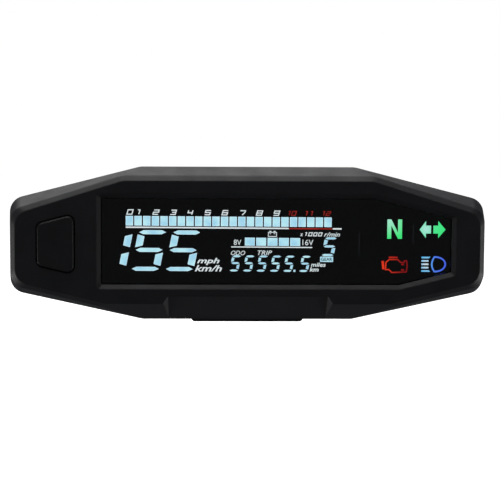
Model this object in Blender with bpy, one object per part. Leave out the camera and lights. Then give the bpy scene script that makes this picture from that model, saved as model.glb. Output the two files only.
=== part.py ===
"""Motorcycle LCD instrument cluster, as an assembly of separate pieces.

Frame: metres, +Z up, +X to the rider's right, the display faces -Y. The origin lies on the rear
mounting face, halfway between the two threaded inserts. Depths are measured back from the front
face of the case, so a larger depth is further from the rider.
"""

import math

import bmesh
import bpy
from mathutils import Vector

MM = 0.001

# overall sizes
CASE_HALF_WIDTH = 96.5 * MM  # at the parting line
CASE_TOP = 30.8 * MM
CASE_BOTTOM = 31.6 * MM
CASE_TOP_SLOPE_RUN = 52.9 * MM  # from the end of the straight top edge to the end wall
CASE_BOTTOM_SLOPE_RUN = 54.1 * MM
CASE_END_TOP = 17.3 * MM  # where the end wall meets the upper slope
CASE_END_BOTTOM = 19.8 * MM
FRONT_DEPTH = 14.0 * MM  # front case, face to parting line
COVER_DEPTH = 10.0 * MM  # rear cover, parting line to its back wall
BLOCK_DEPTH = 5.0 * MM  # how far the mounting block stands behind the back wall

# how much smaller the front edge is than the parting line
FLARE_SIDE = 1.5 * MM
FLARE_TOP = 3.2 * MM
FLARE_END_TOP = 3.7 * MM
FLARE_END_BOTTOM = 3.45 * MM
FLAT_GROWTH = 6.7 * MM  # the straight top edge is longer at the front
CHAMFER = 2.0 * MM
CHIN_DROP = 8.0 * MM  # the sloped underside falls this far from the face to the parting line
CHIN_GROWTH = 14.6 * MM

END_RADIUS = 6.5 * MM
TOP_RADIUS = 9.0 * MM
BOTTOM_RADIUS = 5.0 * MM

FRONT_WALL = 2.0 * MM
SIDE_WALL = 2.5 * MM
BACK_WALL = 2.2 * MM
GAP = 0.3 * MM  # between pieces that touch
SLIDE_GAP = 0.35 * MM  # round a moving piece
LEAST_RADIUS = 0.5 * MM
CUT_PAST = 1.0 * MM  # how far a cutter runs past what it cuts

# pull tab recess in the chin
TAB_MARGIN = 10.4 * MM  # from the end of the straight bottom edge
TAB_RISE = 3.0 * MM
TAB_SIDE_RUN = 2.0 * MM
TAB_END = 0.5 * MM  # the recess stops this far before the parting line
TAB_CUT_PAST = 4.0 * MM
TAB_CUT_DEPTH = 12.0 * MM

# display window, set in from the case's edges
WINDOW_END_MARGIN = 13.1 * MM
WINDOW_TOP_MARGIN = 10.3 * MM
WINDOW_BOTTOM_MARGIN = 13.8 * MM
WINDOW_TOP_PAST = 7.2 * MM  # its straight top edge ends this far past the case's
WINDOW_BOTTOM_PAST = 18.5 * MM
WINDOW_END_TOP_MARGIN = 5.2 * MM  # its right end starts this far below the case's
WINDOW_END_BOTTOM_MARGIN = 7.6 * MM
WINDOW_BEVEL = 1.8 * MM
WINDOW_RADIUS = 1.8 * MM
LENS_RECESS = 1.2 * MM
LENS_FLANGE = 1.9 * MM  # flange beyond the bevelled opening
LENS_FLANGE_THICKNESS = 1.4 * MM
GASKET_THICKNESS = 0.6 * MM
GASKET_WIDTH = 1.2 * MM

# liquid crystal display, set in from the window's edges and the telltales
LCD_LEFT_MARGIN = 7.6 * MM
LCD_RIGHT_MARGIN = 6.5 * MM
LCD_TOP_MARGIN = 5.6 * MM
LCD_BOTTOM_MARGIN = 2.8 * MM
LCD_LEDGE = 3.0 * MM  # rear glass stands past the front glass for the contacts
POLARIZER = 0.3 * MM
POLARIZER_MARGIN = 1.0 * MM
GLASS = 0.8 * MM
DIFFUSER = 0.5 * MM
LIGHT_GUIDE = 1.6 * MM
TRAY_WALL = 1.1 * MM
ZEBRA_HEIGHT = 1.6 * MM
ZEBRA_END_MARGIN = 3.0 * MM
BACKLIGHT_LED_DEPTH = 1.2 * MM
BACKLIGHT_LED_PITCH = 6.8 * MM

# telltale lamps to the right of the display
MASK_THICKNESS = 0.4 * MM
TELLTALE_END_MARGIN = 1.4 * MM  # from the window's right end
TELLTALE_WIDTH = 32.0 * MM
TELLTALE_RIGHT_COLUMN = 15.55 * MM
TELLTALE_ARROW_COLUMN = 7.4 * MM
TELLTALE_TOP_MARGIN = 0.1 * MM  # below the upper end of the window's right edge
TELLTALE_BOTTOM_PAST = 2.2 * MM  # below its lower end
TELLTALE_MIDDLE = -1.2 * MM
CELL_WALL = 1.0 * MM
LED_SIZE = 3.0 * MM
LED_HEIGHT = 1.1 * MM

# push button
BUTTON_END_MARGIN = 12.3 * MM  # from the left end of the case
BUTTON_WIDTH = 14.8 * MM
BUTTON_RIB = 8.8 * MM  # between the button and the window
BUTTON_OUTER_TOP = 8.4 * MM
BUTTON_INNER_TOP = 12.3 * MM
BUTTON_OUTER_BOTTOM = 8.3 * MM
BUTTON_INNER_BOTTOM = 11.7 * MM
BUTTON_RADIUS = 2.6 * MM
BUTTON_RAISE = 0.8 * MM
BUTTON_EDGE = 0.5 * MM
BUTTON_TRAVEL = 0.8 * MM
PLUNGER_TRAVEL = 0.3 * MM
BUTTON_FLANGE = 1.1 * MM
BUTTON_FLANGE_THICKNESS = 1.2 * MM
BUTTON_SEAL_THICKNESS = 0.6 * MM
BUTTON_SEAL_WIDTH = 0.7 * MM
BUTTON_STEM_RADIUS = 2.2 * MM
BUTTON_STEM_ROOT = 0.5 * MM  # how far the stem runs into the flange
SWITCH_SIZE = 6.2 * MM
SWITCH_HEIGHT = 3.5 * MM
PLUNGER_RADIUS = 1.7 * MM
PLUNGER_STAND = 0.9 * MM  # plunger above the switch body
PLUNGER_LENGTH = 2.0 * MM

# circuit board and what is on it
BOARD_THICKNESS = 1.6 * MM
BOARD_MARGIN = 5.0 * MM
BOARD_CHIN_CLEARANCE = 1.31 * MM
BOARD_SCREW_MARGIN = 16.0 * MM  # inward from the case screws
BOARD_SCREW_EDGE = 2.8 * MM  # from the lower edge of the board
BOARD_POST_RADIUS = 2.2 * MM
BOARD_POST_CLEARANCE = 0.6 * MM  # to the lens flange
BOARD_POST_ROOT = 0.99 * MM  # how far the lower posts run into the chin
BOARD_SCREW_RADIUS = 1.1 * MM
BOARD_SCREW_HEAD = 2.1 * MM
BOARD_SCREW_HEAD_HEIGHT = 1.3 * MM
BOARD_SCREW_LENGTH = 5.0 * MM

# board parts: centre x, centre z, width, height, thickness
MICROCONTROLLER = (-8.0 * MM, -8.0 * MM, 10.0 * MM, 10.0 * MM, 1.4 * MM)
LCD_DRIVER = (-8.0 * MM, 12.0 * MM, 14.0 * MM, 9.0 * MM, 1.2 * MM)
VOLTAGE_REGULATOR = (-32.0 * MM, -8.0 * MM, 6.5 * MM, 6.5 * MM, 2.2 * MM)
CRYSTAL = (4.0 * MM, -8.0 * MM, 3.5 * MM, 8.0 * MM, 2.6 * MM)
CAPACITOR_X = -46.0 * MM
CAPACITOR_Z = -4.0 * MM
CAPACITOR_RADIUS = 4.0 * MM
HEADER_WIDTH = 16.0 * MM
HEADER_HEIGHT = 6.0 * MM
HEADER_WALL = 0.9 * MM
HEADER_FLOOR = 1.2 * MM
HEADER_RISE = 4.0 * MM  # above the gland's centre line
TALL_PART_CLEARANCE = 1.5 * MM  # from the tallest board parts to the back wall

# screws that hold the rear cover
CASE_SCREW_PAST = 2.4 * MM  # past the end of the straight top edge
CASE_SCREW_BOTTOM_INSET = 8.4 * MM
CASE_SCREW_SIDE_INSET = 8.5 * MM
CASE_SCREW_SIDE_Z = -1.0 * MM
CASE_BOSS_RADIUS = 2.4 * MM
CASE_BOSS_CLEARANCE = 0.2 * MM  # to the lens flange
CASE_BOSS_ROOT = 1.19 * MM  # how far the lower bosses run into the chin
CASE_SCREW_RADIUS = 1.2 * MM
CASE_SCREW_HEAD = 2.2 * MM
CASE_SCREW_HEAD_HEIGHT = 1.6 * MM
CASE_SCREW_LENGTH = 9.0 * MM
CASE_SCREW_SEAT = 4.0 * MM  # head seat behind the parting line

# rear cover
RIM_WIDTH = 3.6 * MM
RIM_HEIGHT = 2.6 * MM
SEAL_INSET = 1.2 * MM
SEAL_WIDTH = 1.0 * MM
SEAL_HEIGHT = 0.9 * MM
COVER_STRAIGHT = 2.7 * MM
COVER_LIP = 0.5 * MM
COVER_TAPER = 3.2 * MM
COVER_EDGE = 1.5 * MM
COVER_SIDE_WALL = 1.0 * MM  # at the back of the taper
COVER_BOSS_WALL = 1.1 * MM
BLOCK_HALF_WIDTH = 22.9 * MM
BLOCK_TOP = 17.0 * MM
BLOCK_BELOW = 1.0 * MM  # how far the block shows below the case
BLOCK_CHAMFER = 1.6 * MM
BLOCK_EDGE = 1.0 * MM
BLOCK_WALL = 2.5 * MM
INSERT_X = 14.0 * MM
INSERT_RADIUS = 4.2 * MM
INSERT_BORE = 3.0 * MM
INSERT_LENGTH = 8.0 * MM
INSERT_FLOOR = 1.0 * MM
INSERT_BOSS_WALL = 2.0 * MM
INSERT_BOSS_FLOOR = 2.0 * MM
GLAND_X = 44.0 * MM
GLAND_Z = -3.0 * MM
GLAND_BORE = 3.0 * MM
GLAND_NECK = 4.6 * MM
GLAND_FLANGE = 6.4 * MM
GLAND_TIP = 4.2 * MM
GLAND_FLANGE_THICKNESS = 1.4 * MM
GLAND_LIP = 1.0 * MM  # the inner flange, beyond the neck
GLAND_LIP_THICKNESS = 1.2 * MM
GLAND_SLEEVE_FLARE = 0.6 * MM
GLAND_STAND = 4.2 * MM
VENT_X = -44.0 * MM
VENT_Z = 6.0 * MM
VENT_RADIUS = 3.2 * MM
VENT_HEAD = 4.4 * MM
VENT_TIP = 0.85  # share of the radius at the leading end
VENT_TIP_LENGTH = 0.6 * MM
VENT_TIP_INSET = 0.2 * MM
VENT_HEAD_SIDE = 0.7 * MM
VENT_HEAD_HEIGHT = 1.2 * MM
VENT_HEAD_TOP = 0.8  # share of the head's radius at its top

TOTAL_DEPTH = FRONT_DEPTH + COVER_DEPTH + BLOCK_DEPTH
COVER_FRONT = FRONT_DEPTH + GAP
COVER_BACK = FRONT_DEPTH + COVER_DEPTH
INNER_BACK = COVER_BACK - BACK_WALL

CASE_TOP_FLAT = CASE_HALF_WIDTH - CASE_TOP_SLOPE_RUN  # half the straight top edge
CASE_BOTTOM_FLAT = CASE_HALF_WIDTH - CASE_BOTTOM_SLOPE_RUN
TAB_HALF_WIDTH = CASE_BOTTOM_FLAT - TAB_MARGIN
CASE_SCREW_X = CASE_TOP_FLAT + CASE_SCREW_PAST
BOARD_SCREW_X = CASE_SCREW_X - BOARD_SCREW_MARGIN

WINDOW_RIGHT = CASE_HALF_WIDTH - WINDOW_END_MARGIN
WINDOW_TOP = CASE_TOP - WINDOW_TOP_MARGIN
WINDOW_BOTTOM = CASE_BOTTOM - WINDOW_BOTTOM_MARGIN
WINDOW_TOP_FLAT = CASE_TOP_FLAT + WINDOW_TOP_PAST
WINDOW_BOTTOM_FLAT = CASE_BOTTOM_FLAT + WINDOW_BOTTOM_PAST
WINDOW_END_TOP = CASE_END_TOP - WINDOW_END_TOP_MARGIN
WINDOW_END_BOTTOM = CASE_END_BOTTOM - WINDOW_END_BOTTOM_MARGIN
BUTTON_LEFT = CASE_HALF_WIDTH - BUTTON_END_MARGIN
BUTTON_RIGHT = BUTTON_LEFT - BUTTON_WIDTH
WINDOW_LEFT = BUTTON_RIGHT - BUTTON_RIB

TELLTALE_RIGHT = WINDOW_RIGHT - TELLTALE_END_MARGIN
TELLTALE_LEFT = TELLTALE_RIGHT - TELLTALE_WIDTH
TELLTALE_SPLIT = TELLTALE_RIGHT - TELLTALE_RIGHT_COLUMN
TELLTALE_ARROW_SPLIT = TELLTALE_RIGHT - TELLTALE_ARROW_COLUMN
TELLTALE_TOP = WINDOW_END_TOP - TELLTALE_TOP_MARGIN
TELLTALE_BOTTOM = WINDOW_END_BOTTOM + TELLTALE_BOTTOM_PAST
LCD_LEFT = WINDOW_LEFT - LCD_LEFT_MARGIN
LCD_RIGHT = TELLTALE_LEFT - LCD_RIGHT_MARGIN
LCD_TOP = WINDOW_TOP - LCD_TOP_MARGIN
LCD_BOTTOM = WINDOW_BOTTOM - LCD_BOTTOM_MARGIN

# the board lies a gap behind the display stack, wherever the parting line is
LENS_BACK = FRONT_WALL + GAP + GASKET_THICKNESS + GAP + LENS_FLANGE_THICKNESS
STACK_BACK = LENS_BACK + 2 * POLARIZER + 2 * GLASS + DIFFUSER + LIGHT_GUIDE + 7 * GAP
BOARD_FRONT = STACK_BACK + TRAY_WALL + GAP
BOARD_BACK = BOARD_FRONT + BOARD_THICKNESS


# ---------------------------------------------------------------- outlines

def line_crossing(a, b, c, d):
    """Where the line through a and b meets the line through c and d."""
    ab = (b[0] - a[0], b[1] - a[1])
    cd = (d[0] - c[0], d[1] - c[1])
    cross = ab[0] * cd[1] - ab[1] * cd[0]
    along = ((c[0] - a[0]) * cd[1] - (c[1] - a[1]) * cd[0]) / cross
    return (a[0] + along * ab[0], a[1] + along * ab[1])


def shifted(corners, distances):
    """Moves each edge outward by its own distance; corners run clockwise seen from the front."""
    edges = []
    for index, start in enumerate(corners):
        end = corners[(index + 1) % len(corners)]
        run = Vector((end[0] - start[0], end[1] - start[1])).normalized()
        out = (-run.y * distances[index], run.x * distances[index])
        edges.append(((start[0] + out[0], start[1] + out[1]), (end[0] + out[0], end[1] + out[1])))
    return [line_crossing(*edges[index - 1], *edges[index]) for index in range(len(edges))]


def grown(corners, distance):
    return shifted(corners, [distance] * len(corners))


def rounded(corners, radii, steps=4):
    """Replaces each corner by an arc of its own radius."""
    points = []
    for index, corner in enumerate(corners):
        here = Vector(corner)
        back = (Vector(corners[index - 1]) - here).normalized()
        ahead = (Vector(corners[(index + 1) % len(corners)]) - here).normalized()
        half = back.angle(ahead) / 2
        radius = radii[index]
        centre = here + (back + ahead).normalized() * (radius / math.sin(half))
        first = here + back * (radius / math.tan(half)) - centre
        last = here + ahead * (radius / math.tan(half)) - centre
        sweep = first.angle_signed(last)
        for step in range(steps + 1):
            turn = -sweep * step / steps
            x = first.x * math.cos(turn) - first.y * math.sin(turn)
            z = first.x * math.sin(turn) + first.y * math.cos(turn)
            points.append((centre.x + x, centre.y + z))
    return points


def mirrored_corners(half_width, top, top_flat, end_top, end_bottom, bottom_flat, bottom):
    """Eight corners of a body that is the same left and right, from the upper left clockwise."""
    right = [(top_flat, top), (half_width, end_top), (half_width, -end_bottom), (bottom_flat, -bottom)]
    left = [(-x, z) for x, z in reversed(right)]
    return [left[3]] + right + left[:3]


def chin_bottom(depth):
    """Height of the sloped underside at a depth."""
    return CASE_BOTTOM - CHIN_DROP * (1 - depth / FRONT_DEPTH)


def face_corners():
    """The flat front face, inside the chamfered edge."""
    outer = mirrored_corners(
        CASE_HALF_WIDTH - FLARE_SIDE,
        CASE_TOP - FLARE_TOP,
        CASE_TOP_FLAT + FLAT_GROWTH,
        CASE_END_TOP - FLARE_END_TOP,
        CASE_END_BOTTOM - FLARE_END_BOTTOM,
        CASE_BOTTOM_FLAT + CHIN_GROWTH,
        chin_bottom(0) + CHAMFER)
    return grown(outer, -CHAMFER)


EDGE_COUNT = 8
BOTTOM_EDGE = 4  # index of the flat underside among the eight edges


def front_corners():
    """The outer end of the chamfer."""
    moves = [CHAMFER] * EDGE_COUNT
    moves[BOTTOM_EDGE] = chin_bottom(CHAMFER) - chin_bottom(0)
    return shifted(face_corners(), moves)


def parting_corners():
    return mirrored_corners(
        CASE_HALF_WIDTH, CASE_TOP, CASE_TOP_FLAT, CASE_END_TOP, CASE_END_BOTTOM,
        CASE_BOTTOM_FLAT, CASE_BOTTOM)


def case_radii(inset=0.0):
    """Corner radii of the case outline, smaller by the inset."""
    top = max(TOP_RADIUS - inset, LEAST_RADIUS)
    end = max(END_RADIUS - inset, LEAST_RADIUS)
    bottom = max(BOTTOM_RADIUS - inset, LEAST_RADIUS)
    return [top, top, end, end, bottom, bottom, end, end]


def case_outline(corners, inset=0.0):
    return rounded(grown(corners, -inset), case_radii(inset))


def cavity_outline(corners, extra_floor):
    """Inside of the wall; the floor is raised to leave room for the tab recess below it."""
    moves = [-SIDE_WALL] * EDGE_COUNT
    moves[BOTTOM_EDGE] = -SIDE_WALL - extra_floor
    return rounded(shifted(corners, moves), case_radii(SIDE_WALL))


def window_corners(grow):
    corners = [
        (-WINDOW_LEFT, WINDOW_TOP),
        (WINDOW_TOP_FLAT, WINDOW_TOP),
        (WINDOW_RIGHT, WINDOW_END_TOP),
        (WINDOW_RIGHT, -WINDOW_END_BOTTOM),
        (WINDOW_BOTTOM_FLAT, -WINDOW_BOTTOM),
        (-WINDOW_LEFT, -WINDOW_BOTTOM),
    ]
    return grown(corners, grow)


def window_outline(grow):
    radius = max(WINDOW_RADIUS + grow, WINDOW_RADIUS / 3)
    return rounded(window_corners(grow), [radius] * 6, steps=3)


def button_outline(grow):
    corners = [
        (-BUTTON_LEFT, BUTTON_OUTER_TOP),
        (-BUTTON_RIGHT, BUTTON_INNER_TOP),
        (-BUTTON_RIGHT, -BUTTON_INNER_BOTTOM),
        (-BUTTON_LEFT, -BUTTON_OUTER_BOTTOM),
    ]
    return rounded(grown(corners, grow), [BUTTON_RADIUS + grow] * 4)


def rectangle(left, right, bottom, top):
    return [(left, top), (right, top), (right, bottom), (left, bottom)]


def circle(x, z, radius, segments=20):
    turns = [2 * math.pi * index / segments for index in range(segments)]
    return [(x + radius * math.sin(turn), z + radius * math.cos(turn)) for turn in turns]


# ---------------------------------------------------------------- solids

def add_object(name, mesh, smooth=False):
    bm = bmesh.new()
    bm.from_mesh(mesh)
    bmesh.ops.recalc_face_normals(bm, faces=bm.faces)
    bm.to_mesh(mesh)
    bm.free()
    if smooth:
        mesh.shade_smooth()
        mesh.set_sharp_from_angle(angle=math.radians(35))
    thing = bpy.data.objects.new(name, mesh)
    bpy.context.scene.collection.objects.link(thing)
    return thing


def add_loft(bm, rings):
    """A closed skin through rings of (depth, outline) with the same number of points each."""
    loops = []
    for depth, outline in rings:
        loops.append([bm.verts.new((x, depth - TOTAL_DEPTH, z)) for x, z in outline])
    for front, back in zip(loops, loops[1:]):
        for index in range(len(front)):
            after = (index + 1) % len(front)
            bm.faces.new((front[index], front[after], back[after], back[index]))
    bm.faces.new(loops[0])
    bm.faces.new(list(reversed(loops[-1])))


def lofts(name, stacks, smooth=False):
    """One mesh that holds a loft for each stack of rings."""
    bm = bmesh.new()
    for rings in stacks:
        add_loft(bm, rings)
    mesh = bpy.data.meshes.new(name)
    bm.to_mesh(mesh)
    bm.free()
    return add_object(name, mesh, smooth)


def prism(name, outline, front, back, smooth=False):
    return lofts(name, [[(front, outline), (back, outline)]], smooth)


def cylinders(name, places, radius, front, back, segments=20, smooth=True):
    """Parallel cylinders along the depth, one at each place."""
    stacks = []
    for x, z in places:
        outline = circle(x, z, radius, segments)
        stacks.append([(front, outline), (back, outline)])
    return lofts(name, stacks, smooth)


def turned(name, x, z, profile, segments=20):
    """A round solid about an axis along the depth, through (radius, depth) points."""
    rings = [(depth, circle(x, z, radius, segments)) for radius, depth in profile]
    return lofts(name, [rings], smooth=True)


def frame_ring(name, outer, inner, front, back):
    """A flat ring between two outlines with the same number of points."""
    bm = bmesh.new()
    loops = []
    for depth in (front, back):
        for outline in (outer, inner):
            loops.append([bm.verts.new((x, depth - TOTAL_DEPTH, z)) for x, z in outline])
    front_outer, front_inner, back_outer, back_inner = loops
    for index in range(len(outer)):
        after = (index + 1) % len(outer)
        bm.faces.new((front_outer[index], front_outer[after], front_inner[after], front_inner[index]))
        bm.faces.new((back_outer[index], back_inner[index], back_inner[after], back_outer[after]))
        bm.faces.new((front_outer[index], back_outer[index], back_outer[after], front_outer[after]))
        bm.faces.new((front_inner[index], front_inner[after], back_inner[after], back_inner[index]))
    mesh = bpy.data.meshes.new(name)
    bm.to_mesh(mesh)
    bm.free()
    return add_object(name, mesh)


def combine(target, other, operation):
    """Joins or cuts with a second solid, which stays as a hidden guide."""
    modifier = target.modifiers.new(other.name, 'BOOLEAN')
    modifier.operation = operation
    modifier.solver = 'EXACT'
    modifier.object = other
    other.hide_render = True
    other.display_type = 'WIRE'


def cut(target, cutter):
    combine(target, cutter, 'DIFFERENCE')


def join(target, addition):
    combine(target, addition, 'UNION')


def material(name, colour, roughness, metallic=0.0):
    made = bpy.data.materials.get(name)
    if made is None:
        made = bpy.data.materials.new(name)
        made.use_nodes = True
        shader = made.node_tree.nodes['Principled BSDF']
        shader.inputs['Base Color'].default_value = (*colour, 1.0)
        shader.inputs['Roughness'].default_value = roughness
        shader.inputs['Metallic'].default_value = metallic
        made.diffuse_color = (*colour, 1.0)
    return made


def paint(thing, finish):
    thing.data.materials.append(finish)
    return thing


# ---------------------------------------------------------------- materials

def black_case():
    return material('black_abs', (0.018, 0.018, 0.02), 0.5)


def smoked_lens():
    return material('smoked_acrylic', (0.01, 0.01, 0.012), 0.08)


def rubber():
    return material('black_rubber', (0.02, 0.02, 0.02), 0.8)


def silicone():
    return material('grey_silicone', (0.12, 0.12, 0.13), 0.65)


def lcd_glass():
    return material('lcd_glass', (0.05, 0.06, 0.07), 0.05)


def polarizer_film():
    return material('polarizer_film', (0.03, 0.03, 0.04), 0.2)


def milky_sheet():
    return material('milky_sheet', (0.85, 0.87, 0.88), 0.6)


def clear_acrylic():
    return material('clear_acrylic', (0.75, 0.8, 0.82), 0.1)


def white_plastic():
    return material('white_plastic', (0.8, 0.8, 0.78), 0.5)


def green_board():
    return material('green_board', (0.01, 0.16, 0.06), 0.4)


def chip_black():
    return material('chip_black', (0.025, 0.025, 0.025), 0.6)


def steel():
    return material('zinc_steel', (0.6, 0.61, 0.62), 0.3, 1.0)


def brass():
    return material('brass', (0.75, 0.55, 0.25), 0.3, 1.0)


def aluminium_can():
    return material('aluminium_can', (0.7, 0.7, 0.72), 0.35, 1.0)


# ---------------------------------------------------------------- front case

def chin_floor(depth):
    """Height of the inside of the chin at a depth, over the tab recess."""
    left_to_run = max(1 - depth / FRONT_DEPTH, 0)
    return -CASE_BOTTOM + SIDE_WALL + (CHIN_DROP + TAB_RISE) * left_to_run


def chin_depth(height):
    """Depth at which the inside of the chin is at a height."""
    return FRONT_DEPTH * (1 - (height + CASE_BOTTOM - SIDE_WALL) / (CHIN_DROP + TAB_RISE))


def lens_flange_top():
    return WINDOW_TOP - WINDOW_BEVEL + LENS_FLANGE


def board_bottom():
    return chin_floor(BOARD_FRONT) + BOARD_CHIN_CLEARANCE


def case_screw_places():
    top = lens_flange_top() + CASE_BOSS_CLEARANCE + CASE_BOSS_RADIUS
    bottom = CASE_SCREW_BOTTOM_INSET - CASE_BOTTOM
    side = CASE_HALF_WIDTH - CASE_SCREW_SIDE_INSET
    return [
        (-CASE_SCREW_X, top),
        (CASE_SCREW_X, top),
        (side, CASE_SCREW_SIDE_Z),
        (CASE_SCREW_X, bottom),
        (-CASE_SCREW_X, bottom),
        (-side, CASE_SCREW_SIDE_Z),
    ]


def board_screw_places():
    top = lens_flange_top() + BOARD_POST_CLEARANCE + BOARD_POST_RADIUS
    bottom = board_bottom() + BOARD_SCREW_EDGE
    return [
        (-BOARD_SCREW_X, top),
        (BOARD_SCREW_X, top),
        (BOARD_SCREW_X, bottom),
        (-BOARD_SCREW_X, bottom),
    ]


def tab_cutter():
    """The recess in the chin: its floor meets the face higher up and dies out at the parting line."""
    slope = (CHIN_DROP + TAB_RISE) / FRONT_DEPTH
    run = TAB_SIDE_RUN / TAB_RISE

    def ring(depth):
        floor = -chin_bottom(0) + TAB_RISE - slope * depth
        low = floor - TAB_CUT_DEPTH
        wide = TAB_HALF_WIDTH + run * (floor - low)
        return (depth, [(-TAB_HALF_WIDTH, floor), (TAB_HALF_WIDTH, floor), (wide, low), (-wide, low)])

    return lofts('tab_cutter', [[ring(-TAB_CUT_PAST), ring(FRONT_DEPTH - TAB_END)]])


def front_case():
    outer = [(0, case_outline(face_corners())),
             (CHAMFER, case_outline(front_corners())),
             (FRONT_DEPTH, case_outline(parting_corners()))]
    case = lofts('front_case', [outer])

    floor_lift = TAB_RISE * (1 - FRONT_WALL / FRONT_DEPTH)
    cavity_front = cavity_outline(front_corners(), floor_lift)
    cavity_back = cavity_outline(parting_corners(), 0)
    cut(case, lofts('case_cavity', [[(FRONT_WALL, cavity_front),
                                     (FRONT_DEPTH, cavity_back),
                                     (FRONT_DEPTH + CUT_PAST, cavity_back)]]))

    root = FRONT_WALL - CUT_PAST
    board_seat = BOARD_FRONT - GAP
    lower_case_screws = case_screw_places()[3:5]
    lower_board_screws = board_screw_places()[2:]
    boss_root = chin_depth(lower_case_screws[0][1] - CASE_BOSS_RADIUS + CASE_BOSS_ROOT)
    post_root = chin_depth(lower_board_screws[0][1] - BOARD_POST_RADIUS + BOARD_POST_ROOT)
    upper = cylinders('upper_bosses', case_screw_places()[:3] + case_screw_places()[5:],
                      CASE_BOSS_RADIUS, root, FRONT_DEPTH, smooth=False)
    lower = cylinders('lower_bosses', lower_case_screws,
                      CASE_BOSS_RADIUS, boss_root, FRONT_DEPTH, smooth=False)
    upper_posts = cylinders('upper_posts', board_screw_places()[:2],
                            BOARD_POST_RADIUS, root, board_seat, 16, smooth=False)
    lower_posts = cylinders('lower_posts', lower_board_screws,
                            BOARD_POST_RADIUS, post_root, board_seat, 16, smooth=False)
    for addition in (upper, lower, upper_posts, lower_posts):
        join(case, addition)

    cut(case, cylinders('case_pilots', case_screw_places(), CASE_SCREW_RADIUS + GAP,
                        FRONT_DEPTH - CASE_SCREW_LENGTH + CASE_SCREW_SEAT - CUT_PAST,
                        FRONT_DEPTH + CUT_PAST,
                        12, smooth=False))
    cut(case, cylinders('board_pilots', board_screw_places(), BOARD_SCREW_RADIUS + GAP,
                        BOARD_BACK - BOARD_SCREW_LENGTH - CUT_PAST, BOARD_FRONT + CUT_PAST,
                        12, smooth=False))
    cut(case, lofts('window_cutter', [[(-LENS_RECESS, window_outline(WINDOW_BEVEL)),
                                       (LENS_RECESS, window_outline(-WINDOW_BEVEL)),
                                       (FRONT_WALL + CUT_PAST, window_outline(-WINDOW_BEVEL))]]))
    hole = button_outline(SLIDE_GAP)
    cut(case, prism('button_cutter', hole, -CUT_PAST, FRONT_WALL + CUT_PAST))
    cut(case, tab_cutter())
    return paint(case, black_case())


# ---------------------------------------------------------------- window and display

def gasket_front():
    return FRONT_WALL + GAP


def flange_front():
    return gasket_front() + GASKET_THICKNESS + GAP


def window_lens():
    plateau = window_outline(-WINDOW_BEVEL - GAP)
    flange = window_outline(-WINDOW_BEVEL + LENS_FLANGE)
    lens = lofts('window_lens', [[(LENS_RECESS, plateau), (flange_front(), plateau),
                                  (flange_front(), flange), (LENS_BACK, flange)]])
    return paint(lens, smoked_lens())


def lens_gasket():
    outer = window_outline(-WINDOW_BEVEL + LENS_FLANGE - GAP)
    inner = window_outline(-WINDOW_BEVEL + LENS_FLANGE - GAP - GASKET_WIDTH)
    front = gasket_front()
    ring = frame_ring('lens_gasket', outer, inner, front, front + GASKET_THICKNESS)
    return paint(ring, rubber())


def stack_depths():
    """Front and back of each sheet behind the lens, each a gap behind the last."""
    depths = {}
    front = LENS_BACK + GAP
    for name, thickness in (('front_polarizer', POLARIZER), ('front_glass', GLASS),
                            ('rear_glass', GLASS), ('rear_polarizer', POLARIZER),
                            ('diffuser', DIFFUSER), ('light_guide', LIGHT_GUIDE)):
        depths[name] = (front, front + thickness)
        front += thickness + GAP
    depths['tray_floor'] = (front, BOARD_FRONT - GAP)
    return depths


def lcd_sheets():
    depths = stack_depths()
    film = rectangle(-LCD_LEFT + POLARIZER_MARGIN, LCD_RIGHT - POLARIZER_MARGIN,
                     -LCD_BOTTOM + POLARIZER_MARGIN, LCD_TOP - POLARIZER_MARGIN)
    glass = rectangle(-LCD_LEFT, LCD_RIGHT, -LCD_BOTTOM, LCD_TOP)
    ledge = rectangle(-LCD_LEFT, LCD_RIGHT, -LCD_BOTTOM, LCD_TOP + LCD_LEDGE)
    inside = TRAY_WALL + GAP
    lit = rectangle(-LCD_LEFT + GAP, LCD_RIGHT - inside, -LCD_BOTTOM + inside, LCD_TOP - inside)
    for name, outline, key, finish in (
            ('lcd_front_polarizer', film, 'front_polarizer', polarizer_film()),
            ('lcd_front_glass', glass, 'front_glass', lcd_glass()),
            ('lcd_rear_glass', ledge, 'rear_glass', lcd_glass()),
            ('lcd_rear_polarizer', lit, 'rear_polarizer', polarizer_film()),
            ('backlight_diffuser', lit, 'diffuser', milky_sheet()),
            ('light_guide', lit, 'light_guide', clear_acrylic())):
        paint(prism(name, outline, *depths[key]), finish)


def display_tray():
    """White tray behind the display, open at the left where the backlight lamps shine in."""
    depths = stack_depths()
    front = depths['rear_glass'][1] + GAP
    back = depths['tray_floor'][1]
    tray = prism('display_tray', rectangle(-LCD_LEFT, LCD_RIGHT, -LCD_BOTTOM, LCD_TOP), front, back)
    hollow = rectangle(-LCD_LEFT - CUT_PAST, LCD_RIGHT - TRAY_WALL, -LCD_BOTTOM + TRAY_WALL,
                       LCD_TOP - TRAY_WALL)
    cut(tray, prism('tray_hollow', hollow, front - CUT_PAST, depths['tray_floor'][0]))
    return paint(tray, white_plastic())


def zebra_strip():
    """Conducting rubber strip from the glass ledge to the board."""
    depths = stack_depths()
    middle = LCD_TOP + LCD_LEDGE / 2 + GAP
    outline = rectangle(-LCD_LEFT + ZEBRA_END_MARGIN, LCD_RIGHT - ZEBRA_END_MARGIN,
                        middle - ZEBRA_HEIGHT / 2, middle + ZEBRA_HEIGHT / 2)
    strip = prism('zebra_strip', outline, depths['rear_glass'][1] + GAP, BOARD_FRONT - GAP)
    return paint(strip, silicone())


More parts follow.
